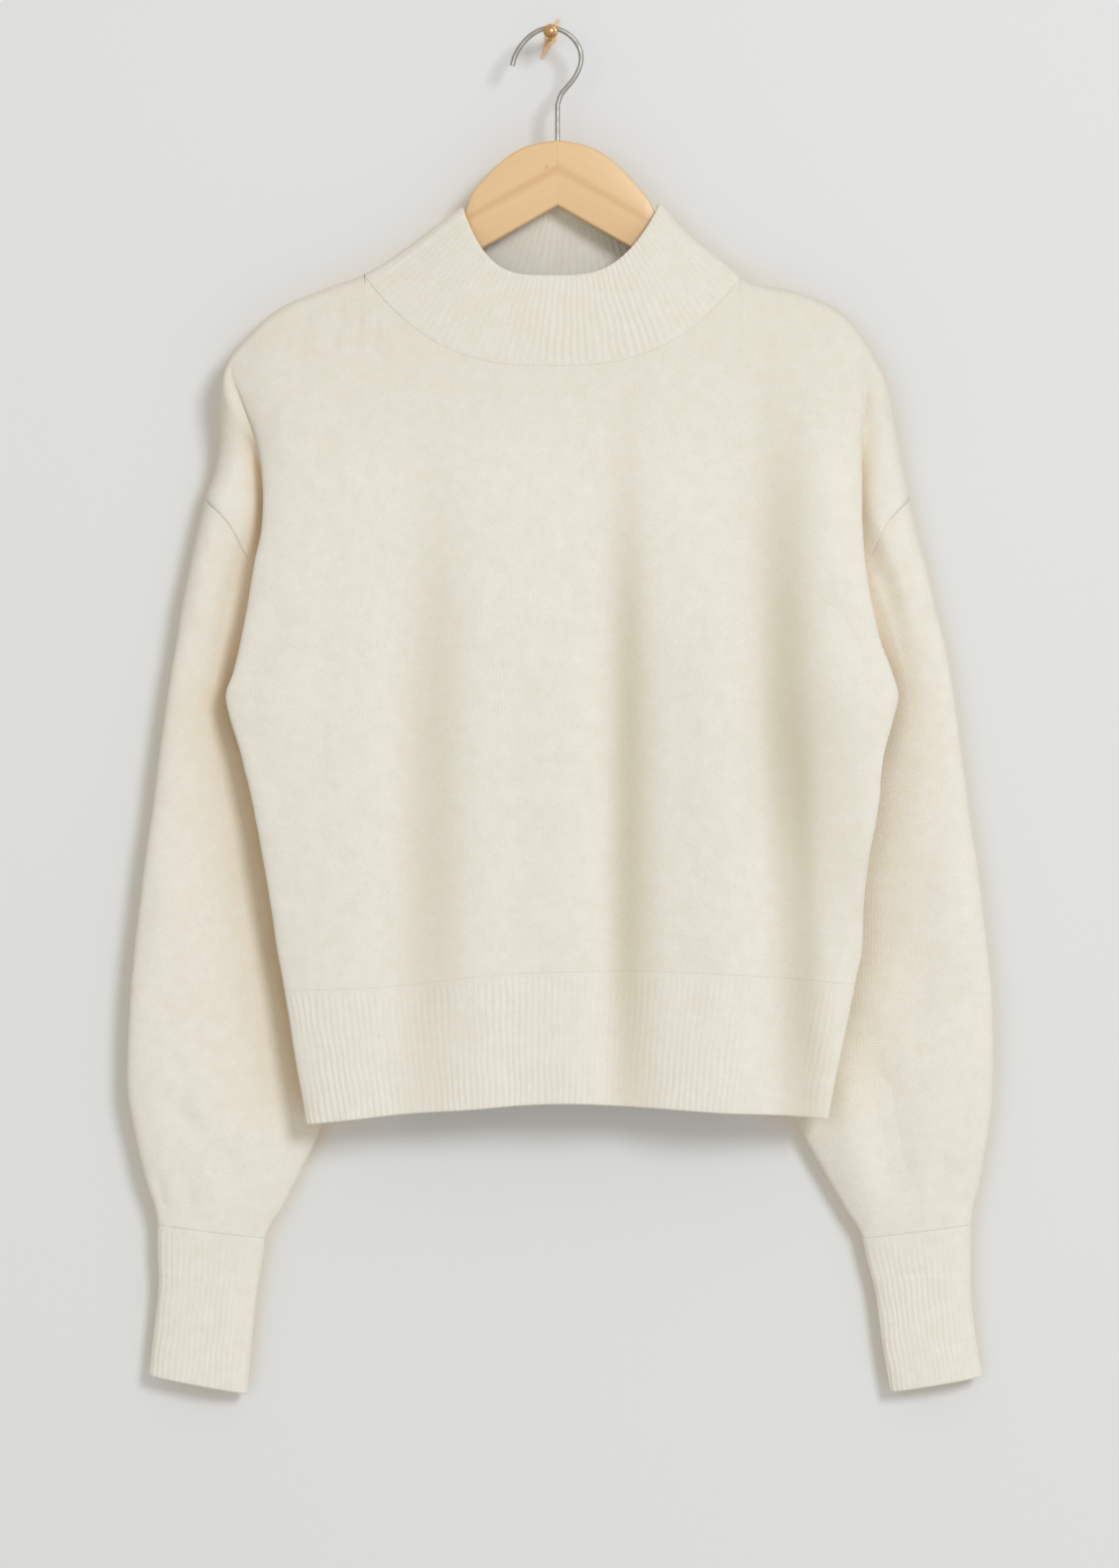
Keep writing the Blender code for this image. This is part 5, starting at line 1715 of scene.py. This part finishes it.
@dataclass
class BodyPanels:
    """The front and back of the body, knitted in plain stockinette and shaped to the neck."""

    wall: float = 2.4
    front_rows: int = 190
    front_body_columns: int = 236
    side_columns: int = 26
    back_rows: int = 100
    back_body_columns: int = 130
    neck_crowding: tuple[float, float] = (2.2, 14.0)
    fold_crowding: tuple[float, float] = (3.0, 12.0)
    length: float = 520.0
    flat: tuple[float, float] = (0.46, 0.5)
    area: float = 0.185
    seam_settle: float = 22.0
    hem_settle: float = 0.05
    side_settle: float = 0.3
    back_swell: float = 66.0
    # The warm painted shade in the groove beside each sleeve: its share on the left and right, and
    # where it lies
    hollow_shade_shares: tuple[float, float] = (0.75, 0.4)
    hollow_out: float = 2.0
    hollow_top_z: float = -222.0
    hollow_fade: float = 60.0
    hollow_width: float = 9.0

    def columns(self, body: int, beside: int) -> Points:
        """Columns across a panel, right to left, closer together at the neck's corners.

        Args:
            body: how many steps lie between the two folds.
            beside: how many lie beside each fold.

        Returns:
            The columns.
        """
        x = np.linspace(FORM.break_right, FORM.break_left, 4000)
        weight = np.ones_like(x)
        corners = (FORM.neck_x - FORM.neck_half, FORM.neck_x + FORM.neck_half)
        folds = (FORM.break_left, FORM.break_right)
        for places, crowding in ((corners, self.neck_crowding), (folds, self.fold_crowding)):
            for place in places:
                weight = weight + crowding[0] * np.exp(-(((x - place) / crowding[1]) ** 2))
        count = np.concatenate([[0.0], np.cumsum((weight[1:] + weight[:-1]) / 2)])
        x_top = np.interp(np.linspace(0.0, count[-1], body + 1), count, x)
        middle = mix(-1.0, 1.0, (x_top - FORM.break_left) / (FORM.break_right - FORM.break_left))
        side = np.linspace(2.0, 1.0, beside + 1)[:-1]
        return np.concatenate([side, middle, -side[::-1]])

    def front_hollow_shade(self, columns: Points, x: Points, z: Points) -> Points:
        """The share of warm painted shade at each place of the front, in the fold beside a sleeve,
        from 0 to 1.

        Args:
            columns: the panel's columns.
            x: places across, in mm.
            z: places up, in mm.

        Returns:
            The share.
        """
        folds = np.zeros(x.shape)
        for side, share in zip(Side, self.hollow_shade_shares):
            beside = columns[None] * side.value > 1
            off = np.abs(x - FORM.fold_line[side.word](z) + side.value * self.hollow_out)
            below = ease((self.hollow_top_z - z) / self.hollow_fade)
            groove = share * below * np.exp(-((off / self.hollow_width) ** 2))
            folds = np.where(beside, np.maximum(folds, groove), folds)
        return folds

    def rows(self, count: int) -> Points:
        """Rows from the shoulder to the rib seam."""
        return edge_crowded(count, self.length)

    def build(self, wool: bpy.types.Material) -> None:
        """Makes both panels.

        Args:
            wool: the knit's finish.
        """
        columns = self.columns(self.front_body_columns, self.side_columns)
        grid = FORM.front(columns[None], self.rows(self.front_rows)[:, None])
        x, z = grid[..., 0], grid[..., 2]
        shown = np.clip((2 - np.abs(columns))[None] / self.side_settle, 0.0, 1.0)
        below_neck = ease(line_lengths(grid, 0) / self.seam_settle)
        relief = (creases(FRONT_CREASES, x, z) + swells(x, z)) * shown * below_neck
        # The front carries painted shade: the fold shade, and the warm shade beside each sleeve
        KnitWall(
            "front_panel_knit", "front_panel", grid, False, self.wall, 1.0, self.flat,
            relief=relief, area=self.area, fold=fold_shade(x, z) * shown,
            hollow_shade=self.front_hollow_shade(columns, x, z),
        ).build(wool)
        columns = self.columns(self.back_body_columns, self.side_columns // 2)
        grid = FORM.back(columns[None], self.rows(self.back_rows)[:, None])
        x, z = grid[..., 0], grid[..., 2]
        near_edge = ease(line_lengths(grid, 0) / self.seam_settle)
        near_edge = near_edge * ease((1 - grid_share(grid)) / self.hem_settle)
        relief = 0.5 * creases(BACK_CREASES, x, z) + 0.3 * uneven(x, z, self.back_swell)
        relief = relief * near_edge
        KnitWall(
            "back_panel_knit", "back_panel", grid, False, self.wall, -1.0, self.flat,
            relief=relief, area=self.area,
        ).build(wool)


@dataclass
class Welts:
    """The deep ribbed welt under each body panel."""

    wall: float = 2.8
    ribs: int = 94
    rise: float = 0.46
    points_a_rib: int = 8
    rows: int = 26
    seam_fade: float = 7.0
    side_settle: float = 0.3
    height: float = 84.0
    flat: tuple[float, float] = (0.38, 0.088)

    def build(self, wool: bpy.types.Material) -> None:
        """Makes the front and the back welt.

        Args:
            wool: the knit's finish.
        """
        for word, surface, outward in (("front", FORM.front, 1.0), ("back", FORM.back, -1.0)):
            count = self.ribs * self.points_a_rib
            columns = even_columns(surface, 1.5, 2.0, -2.0, count)
            rows = 1.0 + edge_crowded(self.rows, self.height)
            grid = surface(columns[None], rows[:, None])
            down = line_lengths(grid, 0)
            x, z = grid[..., 0], grid[..., 2]
            ribs = rib_wave(np.arange(count + 1) / self.points_a_rib + sway(x, z), self.rise)
            strength = ease(down / self.seam_fade) * patchy(x, z)
            relief = ribs * strength
            fold = None
            if word == "front":
                shown = np.clip((2 - np.abs(columns))[None] / self.side_settle, 0.0, 1.0)
                relief = relief + (creases(FRONT_CREASES, x, z) + swells(x, z)) * shown
                # The welt carries the same painted fold shade as the front panel
                fold = fold_shade(x, z) * shown
            KnitWall(
                word + "_welt_knit", word + "_hem_rib", grid, False, self.wall, outward, self.flat,
                relief=relief, edges=(SEAM, FREE, SEAM, SEAM), inner_step=(4, 4),
                rests_on=(word + "_panel_knit",), fold=fold,
            ).build(wool)


@dataclass
class Sleeves:
    """The balloon sleeves and their long ribbed cuffs."""

    wall: float = 2.4
    cuff_wall: float = 2.8
    around: int = 200
    rows: int = 190
    cuff_ribs: int = 38
    points_a_rib: int = 8
    cuff_rows: int = 30
    rise: float = 0.44
    seam_fade: float = 14.0
    cuff_start: float = 0.0003
    length: float = 440.0
    cuff_height: float = 98.0
    row_crowding: float = 1.05
    crease_settle: float = 0.25
    crease_shift: tuple[float, float] = (6.0, 24.0)
    # Painted warm shade on the sleeve's front beside the body: its share low and high on each side,
    # its reach, where it turns and the heights it covers
    shade_low: tuple[float, float] = (0.72, 0.32)
    shade_high: tuple[float, float] = (0.74, 0.4)
    shade_reach: tuple[float, float] = (16.0, 9.0)
    shade_turn_z: float = -445.0
    shade_span: tuple[float, float] = (-712.0, -262.0)
    sleeve_flat: tuple[float, float] = (0.29, 0.45)
    sleeve_area: float = 0.088
    cuff_flat: tuple[float, float] = (0.145, 0.098)

    def build(self, wool: bpy.types.Material) -> None:
        """Makes both sleeves and both cuffs."""
        for side in Side:
            self.build_sleeve(side, wool)
            self.build_cuff(side, wool)

    def build_sleeve(self, side: Side, wool: bpy.types.Material) -> None:
        """Makes one sleeve, with its creases on the front and softer ones behind.

        Args:
            side: which sleeve.
            wool: the knit's finish.
        """
        even = even_columns(partial(FORM.sleeve, side), 0.5, 0.0, 2.0, self.around)[:-1]
        down = edge_crowded(self.rows, self.length) ** self.row_crowding
        around, v = np.meshgrid(even, down)
        grid = FORM.sleeve(side, around, v)
        x, z = grid[..., 0], grid[..., 2]
        table = LEFT_CREASES if side is Side.LEFT else RIGHT_CREASES
        in_front = ease((1 - np.abs(around - 0.5) * 2) / self.crease_settle) * (around < 1)
        behind = ease((1 - np.abs(around - 1.5) * 2) / self.crease_settle) * (around > 1)
        aside, higher = self.crease_shift
        back_creases = 0.6 * creases(table, x + aside, z + higher)
        relief = creases(table, x, z) * in_front + back_creases * behind
        settle = ease(v / 0.04) * ease((1 - v) / 0.03)
        relief = (relief + 0.35 * uneven(x, z, 58.0) + 0.1 * uneven(z, x, 21.0)) * settle
        KnitWall(
            side.word + "_sleeve_knit", side.word + "_sleeve", grid, True, self.wall, side.value,
            self.sleeve_flat, area=self.sleeve_area, relief=relief,
            hollow_shade=self.body_shade(side, around, x, z),
            rests_on=("front_panel_knit", "back_panel_knit"),
        ).build(wool)

    def body_shade(self, side: Side, around: Points, x: Points, z: Points) -> Points:
        """The share of warm painted shade at each place, in the fold between the sleeve and the
        body, from 0 to 1.

        Args:
            side: which sleeve.
            around: the columns.
            x: places across, in mm.
            z: places up, in mm.

        Returns:
            The share.
        """
        off = (x - FORM.fold_line[side.word](z)) * side.value
        at = list(Side).index(side)
        upper = ease((z - self.shade_turn_z) / 50.0)
        share = mix(self.shade_low[at], self.shade_high[at], upper)
        reach = mix(*self.shade_reach, upper)
        beside = share * np.exp(-np.maximum(off, 0.0) / reach)
        lowest, highest = self.shade_span
        covered = ease((z - lowest) / 50.0) * ease((highest - z) / 40.0)
        return np.where(around < 1, beside * covered, 0.0)

    def build_cuff(self, side: Side, wool: bpy.types.Material) -> None:
        """Makes one cuff.

        Args:
            side: which cuff.
            wool: the knit's finish.
        """
        count = self.cuff_ribs * self.points_a_rib
        even = even_columns(partial(FORM.sleeve, side), 1.5, 0.0, 2.0, count)[:-1]
        down = mix(1.0 + self.cuff_start, 2.0, edge_crowded(self.cuff_rows, self.cuff_height))
        around, v = np.meshgrid(even, down)
        grid = FORM.sleeve(side, around, v)
        length = line_lengths(grid, 0)
        x, z = grid[..., 0], grid[..., 2]
        ribs = rib_wave(np.arange(count) / self.points_a_rib + sway(x, z), self.rise)
        relief = ribs * ease(length / self.seam_fade) * patchy(x, z)
        KnitWall(
            side.word + "_cuff_knit", side.word + "_cuff", grid, True, self.cuff_wall, side.value,
            self.cuff_flat, relief=relief, edges=(SEAM, FREE, SEAM, SEAM), inner_step=(3, 4),
            rests_on=(side.word + "_sleeve_knit",),
        ).build(wool)


@dataclass
class MockNeck:
    """The wide ribbed collar, linked round the neckline, ribbed inside as well as out."""

    wall: float = 2.8
    front_ribs: int = 56
    back_ribs: int = 44
    points_a_rib: int = 8
    rows: int = 44
    rise: float = 0.6
    inner_rise: float = 0.5
    seam_fade: float = 3.5
    start: float = 0.0005
    height: float = 60.0
    flat_share: float = 0.3
    flat_left_x: float = -60.0
    flat_fade: float = 110.0
    patch_share: float = 0.6
    flat: tuple[float, float] = (0.4, 0.085)

    def build(self, wool: bpy.types.Material) -> None:
        """Makes the collar.

        Args:
            wool: the knit's finish.
        """
        fine = self.points_a_rib
        front = np.arange(self.front_ribs * fine) / (self.front_ribs * fine)
        back = np.arange(self.back_ribs * fine) / (self.back_ribs * fine)
        up = mix(self.start, 1.0, edge_crowded(self.rows, self.height, 0.25))
        grid = FORM.collar(front, back, up)
        phase = np.arange(grid.shape[1]) / fine
        x, z = grid[..., 0], grid[..., 2]
        ribs = rib_wave(phase + sway(x, z), self.rise)
        inner = rib_wave(phase + 0.5, self.inner_rise)
        strength = ease(line_lengths(grid, 0) / self.seam_fade)
        # The brushing lies flatter over the ribs on the left than on the right
        raised = ease((x - self.flat_left_x) / self.flat_fade)
        strength = strength * mix(self.flat_share, 1.0, raised)
        strength = strength * mix(1.0, patchy(x, z), self.patch_share)
        KnitWall(
            "collar_knit", "collar", grid, True, self.wall, 1.0, self.flat,
            relief=ribs * strength, inner_relief=-inner[None] * strength,
            edges=(SEAM, FREE, SEAM, SEAM), inner_step=(2, 1),
            # An even painted shade over the whole collar
            fold=np.full(x.shape, COLLAR_SHADE),
        ).build(wool)


# The steel hook's crook from its open end over the peg and down to the stem, as (x, z)
CROOK = (
    (-24.4, -21.0), (-22.4, -14.6), (-18.9, -8.6), (-14.0, -3.1), (-8.2, 0.9), (-2.2, 2.7),
    (4.0, 2.3), (10.0, -0.3), (15.2, -4.9), (18.6, -11.0), (19.4, -17.6), (17.6, -24.2),
    (14.2, -30.2), (10.0, -35.2), (6.6, -39.6),
)


@dataclass
class Hanger:
    """The flat pine hanger in two mitred halves, and its bent steel hook."""

    middle_x: float = 4.4
    depth: float = 26.0
    half_thick: float = 5.0
    thinning: float = 0.25
    tip_thinning: float = 0.6
    grain_line: tuple[float, float] = (-90.0, -198.0)
    grain_apart: float = 0.31
    length: float = 190.0
    tip: float = 9.0
    sink: float = 7.0
    under_cloth: float = 7.3
    corner_radius: float = 1.8
    mitre_gap: float = 0.03
    stations: int = 64
    wire_radius: float = 1.55
    stem_top: float = -43.0
    wire_foot: float = -86.0

    def section(self) -> Points:
        """A board's section as (thickness, height) shares of its half sizes, round its corners.

        Two more columns give each point's place on its corner's arc, as shares of the radius.

        Returns:
            A row for each point.
        """
        points = []
        for across, upright, start in ((1, 1, 0), (-1, 1, 90), (-1, -1, 180), (1, -1, 270)):
            for angle in np.radians(np.linspace(start, start + 90, 5)):
                points.append((across, upright, math.cos(angle), math.sin(angle)))
        return np.array(points)

    def outline(self, side: Side, reach: float) -> tuple[float, float, float, float]:
        """The board at a reach from the mitre: x, top, low and half thickness.

        Args:
            side: which arm.
            reach: how far along the arm, in mm.

        Returns:
            The four measures, in mm.
        """
        sizes = curves(HANGER_OUTLINE)
        x = self.middle_x + side.value * reach
        slope = float(FORM.top_line(x + 1.0) - FORM.top_line(x))
        under = float(FORM.top_line(x)) - self.under_cloth * math.hypot(1.0, slope)
        corner = abs(FORM.rim_x + side.value * FORM.rim_half - self.middle_x)
        hidden = float(ease((reach - corner) / self.sink + 1.0))
        top = mix(float(sizes["top"](reach)), under, hidden)
        low = float(sizes["low"](reach))
        past = max((reach - self.length + self.tip) / self.tip, 0.0)
        closing = math.sqrt(max(1 - past**2, 0.0))
        middle, half = (top + low) / 2, (top - low) / 2 * closing
        thick = self.half_thick * (1 - self.thinning * reach / self.length)
        return x, middle + half, middle - half, thick * mix(1.0, closing, self.tip_thinning)

    def build_arm(self, side: Side, pine: bpy.types.Material) -> None:
        """Makes one half of the board, from the glued mitre to its rounded tip.

        Args:
            side: which arm.
            pine: the board's finish.
        """
        straight = np.linspace(self.mitre_gap, self.length - self.tip, self.stations)
        tip = self.length - self.tip + self.tip * np.sin(np.linspace(0.15, 1.45, 9))
        section = self.section()
        rings, places = [], []
        for reach in np.concatenate([straight, tip]):
            x, top, low, thick = self.outline(side, float(reach))
            radius = min(self.corner_radius, thick * 0.8, (top - low) * 0.35)
            ring = np.empty((len(section), 3))
            ring[:, 0] = x
            ring[:, 1] = self.depth + section[:, 0] * (thick - radius) + section[:, 2] * radius
            middle, half = (top + low) / 2, (top - low) / 2
            ring[:, 2] = middle + section[:, 1] * (half - radius) + section[:, 3] * radius
            rings.append(ring)
            # The grain runs along the arm, square to the mitre's own slope
            upright = ring[:, 2] - np.interp(reach, [0.0, self.length], self.grain_line)
            places.append(np.stack([np.full(len(section), reach), upright + ring[:, 1]], -1))
        grid = np.array(rings)
        at = np.arange(grid.shape[0] * grid.shape[1]).reshape(grid.shape[:2])
        faces = quads(at, True)
        faces.append(tuple(at[0].tolist()[::-1]))
        faces.append(tuple(at[-1].tolist()))
        if side is Side.LEFT:
            faces = [face[::-1] for face in faces]
        name = side.word + "_arm_board"
        piece = new_mesh_object(name, metres(grid.reshape(-1, 3)), faces, pine)
        piece.data.set_sharp_from_angle(angle=math.radians(50))
        offset = 0.0 if side is Side.LEFT else self.grain_apart
        flat_places = np.array(places).reshape(-1, 2) * MM + np.array([offset, 0.0])
        write_places(piece, flat_places, "board")
        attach(piece, "root")
        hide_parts("hanger_" + side.word + "_arm")
        log.info("%s: %d faces", name, len(faces))

    def wire_route(self) -> Points:
        """The hook's line as (x, z): the crook over the peg, and the stem down into the wood.

        Returns:
            The points, in mm.
        """
        knots = [*CROOK, (self.middle_x, self.stem_top - 3.0)]
        table = (("at", "x", "z"), *((k, *knot) for k, knot in enumerate(knots)))
        at = np.linspace(0, len(knots) - 1, 90)
        crook = np.stack([Curve(table, "x")(at), Curve(table, "z")(at)], -1)
        stem_z = np.linspace(self.stem_top - 6.0, self.wire_foot, 8)
        stem = np.stack([np.full(8, self.middle_x), stem_z], -1)
        return np.concatenate([crook, stem])

    def build_hook(self, steel: bpy.types.Material) -> None:
        """Makes the steel hook as one drawn wire.

        Args:
            steel: the wire's finish.
        """
        data = bpy.data.curves.new("steel_hook", "CURVE")
        data.dimensions = "3D"
        data.bevel_depth = self.wire_radius * MM
        data.bevel_resolution = 5
        data.use_fill_caps = True
        route = self.wire_route()
        line = data.splines.new("POLY")
        line.points.add(len(route) - 1)
        for target, (x, z) in zip(line.points, route.tolist()):
            target.co = (x * MM, -self.depth * MM, z * MM, 1.0)
        line.use_smooth = True
        data.materials.append(steel)
        piece = bpy.data.objects.new("steel_hook", data)
        bpy.context.scene.collection.objects.link(piece)
        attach(piece, "root")
        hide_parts("hanger_hook")
        log.info("steel_hook: %d points", len(route))

    def build(self, pine: bpy.types.Material, steel: bpy.types.Material) -> None:
        """Makes both arms and the hook."""
        for side in Side:
            self.build_arm(side, pine)
        self.build_hook(steel)


@dataclass
class WallHook:
    """The small brass hook on the wall: a thin leaf round a boss, and a peg with a cupped ball."""

    nodes: tuple[str, str] = ("wall_hook_plate", "wall_hook_peg")

    def dress(self, frame: dict[str, Any], brass: bpy.types.Material) -> None:
        """Gives both solids their finish.

        Args:
            frame: the loaded pack's objects.
            brass: the hook's finish.
        """
        for node in self.nodes:
            piece = frame["nodes"][node]
            piece.data.materials.clear()
            piece.data.materials.append(brass)
            log.info("%s: dressed", node)


# ---- Studio ----


@dataclass(frozen=True)
class Lamp:
    """A round soft lamp that points at the middle of the sweater.

    Args:
        name: what it does.
        watts: its power.
        size: its width, in metres.
        colour: its colour.
        place: where it hangs, in metres.
        aim: the place it points at.
    """

    name: str
    watts: float
    size: float
    colour: str
    place: tuple[float, float, float]
    aim: tuple[float, float, float] = (0.0, 0.0, -0.45)

    def build(self) -> None:
        """Makes the lamp."""
        data = bpy.data.lights.new(self.name, "AREA")
        data.shape = "DISK"
        data.size = self.size
        data.energy = self.watts
        data.color = linear(self.colour)[:3]
        lamp = bpy.data.objects.new(self.name, data)
        lamp.location = self.place
        way = Vector(self.aim) - Vector(self.place)
        lamp.rotation_euler = way.to_track_quat("-Z", "Y").to_euler()
        bpy.context.scene.collection.objects.link(lamp)


@dataclass
class Studio:
    """The pale wall and floor, the soft light and the camera."""

    distance: float = 3.0
    at_depth_mm: float = 25.0
    sensor: float = 36.0
    wall_size: float = 6.0
    wall_gap: float = 0.0004
    floor_z: float = -1.7
    wall_colour: str = "E3E4E4"
    floor_colour: str = "E4E3E0"
    world_colour: str = "F4F1EB"
    world_strength: float = 0.6
    lamps: tuple[Lamp, ...] = (
        Lamp("key", 126.0, 1.68, "F6FAFF", (2.16, -4.64, 1.4)),
        Lamp("fill", 16.0, 2.2, "FFF8EE", (-1.6, -4.6, 0.1)),
    )

    def build_camera(self) -> None:
        """Places the camera straight in front, so that the photograph's frame fits."""
        long_side = PHOTO_HEIGHT * MM_PER_PIXEL * MM
        data = bpy.data.cameras.new("camera")
        data.sensor_width = self.sensor
        data.lens = self.sensor * self.distance / long_side
        camera = bpy.data.objects.new("camera", data)
        bpy.context.scene.collection.objects.link(camera)
        x = (PHOTO_WIDTH / 2 - ORIGIN_PIXEL[0]) * MM_PER_PIXEL * MM
        z = (ORIGIN_PIXEL[1] - PHOTO_HEIGHT / 2) * MM_PER_PIXEL * MM
        camera.location = (x, -(self.distance + self.at_depth_mm * MM), z)
        camera.rotation_euler = (math.radians(90), 0.0, 0.0)
        bpy.context.scene.camera = camera

    def build_stage(self) -> None:
        """Makes the wall, just behind the hook's plate, and the floor."""
        half, low = self.wall_size / 2, self.floor_z
        upright = ((-half, low), (half, low), (half, half), (-half, half))
        level = ((-half, -half), (half, -half), (half, half), (-half, half))
        wall_paint = WallPaint("matt_wall_paint", self.wall_colour, one_sided=True).build()
        floor_paint = WallPaint("matt_floor_paint", self.floor_colour).build()
        wall_corners = np.array([(x, self.wall_gap, z) for x, z in upright])
        floor_corners = np.array([(x, y, low) for x, y in level])
        wall = new_mesh_object("studio_wall", wall_corners, [(0, 1, 2, 3)], wall_paint)
        floor = new_mesh_object("studio_floor", floor_corners, [(0, 1, 2, 3)], floor_paint)
        # The wall holds no light back, so that views from behind aren't black
        wall.visible_shadow = False
        wall.visible_diffuse = False
        wall.visible_glossy = False

    def build_light(self) -> None:
        """Makes the pale surroundings, a soft key from the upper right and a weak fill."""
        world = bpy.data.worlds.new("soft_surroundings")
        world.use_nodes = True
        background = world.node_tree.nodes["Background"]
        background.inputs["Color"].default_value = linear(self.world_colour)
        background.inputs["Strength"].default_value = self.world_strength
        bpy.context.scene.world = world
        for lamp in self.lamps:
            lamp.build()

    def set_tone(self) -> None:
        """Shows each colour as it is, with no film curve, as in a plain catalogue picture."""
        bpy.context.scene.view_settings.view_transform = "Standard"

    def build(self) -> None:
        """Makes everything that isn't part of the sweater."""
        self.set_tone()
        self.build_camera()
        self.build_stage()
        self.build_light()


def main() -> None:
    """Builds the sweater, its hanger and the studio in order."""
    logging.basicConfig(level=logging.INFO, format="%(name)s: %(message)s")
    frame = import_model()
    Studio().build()
    wool = BrushedWool().build()
    BodyPanels().build(wool)
    Welts().build(wool)
    Sleeves().build(wool)
    MockNeck().build(wool)
    Hanger().build(LacqueredPine().build(), DRAWN_STEEL.build())
    WallHook().dress(frame, TURNED_BRASS.build())


if __name__ == "__main__":
    main()
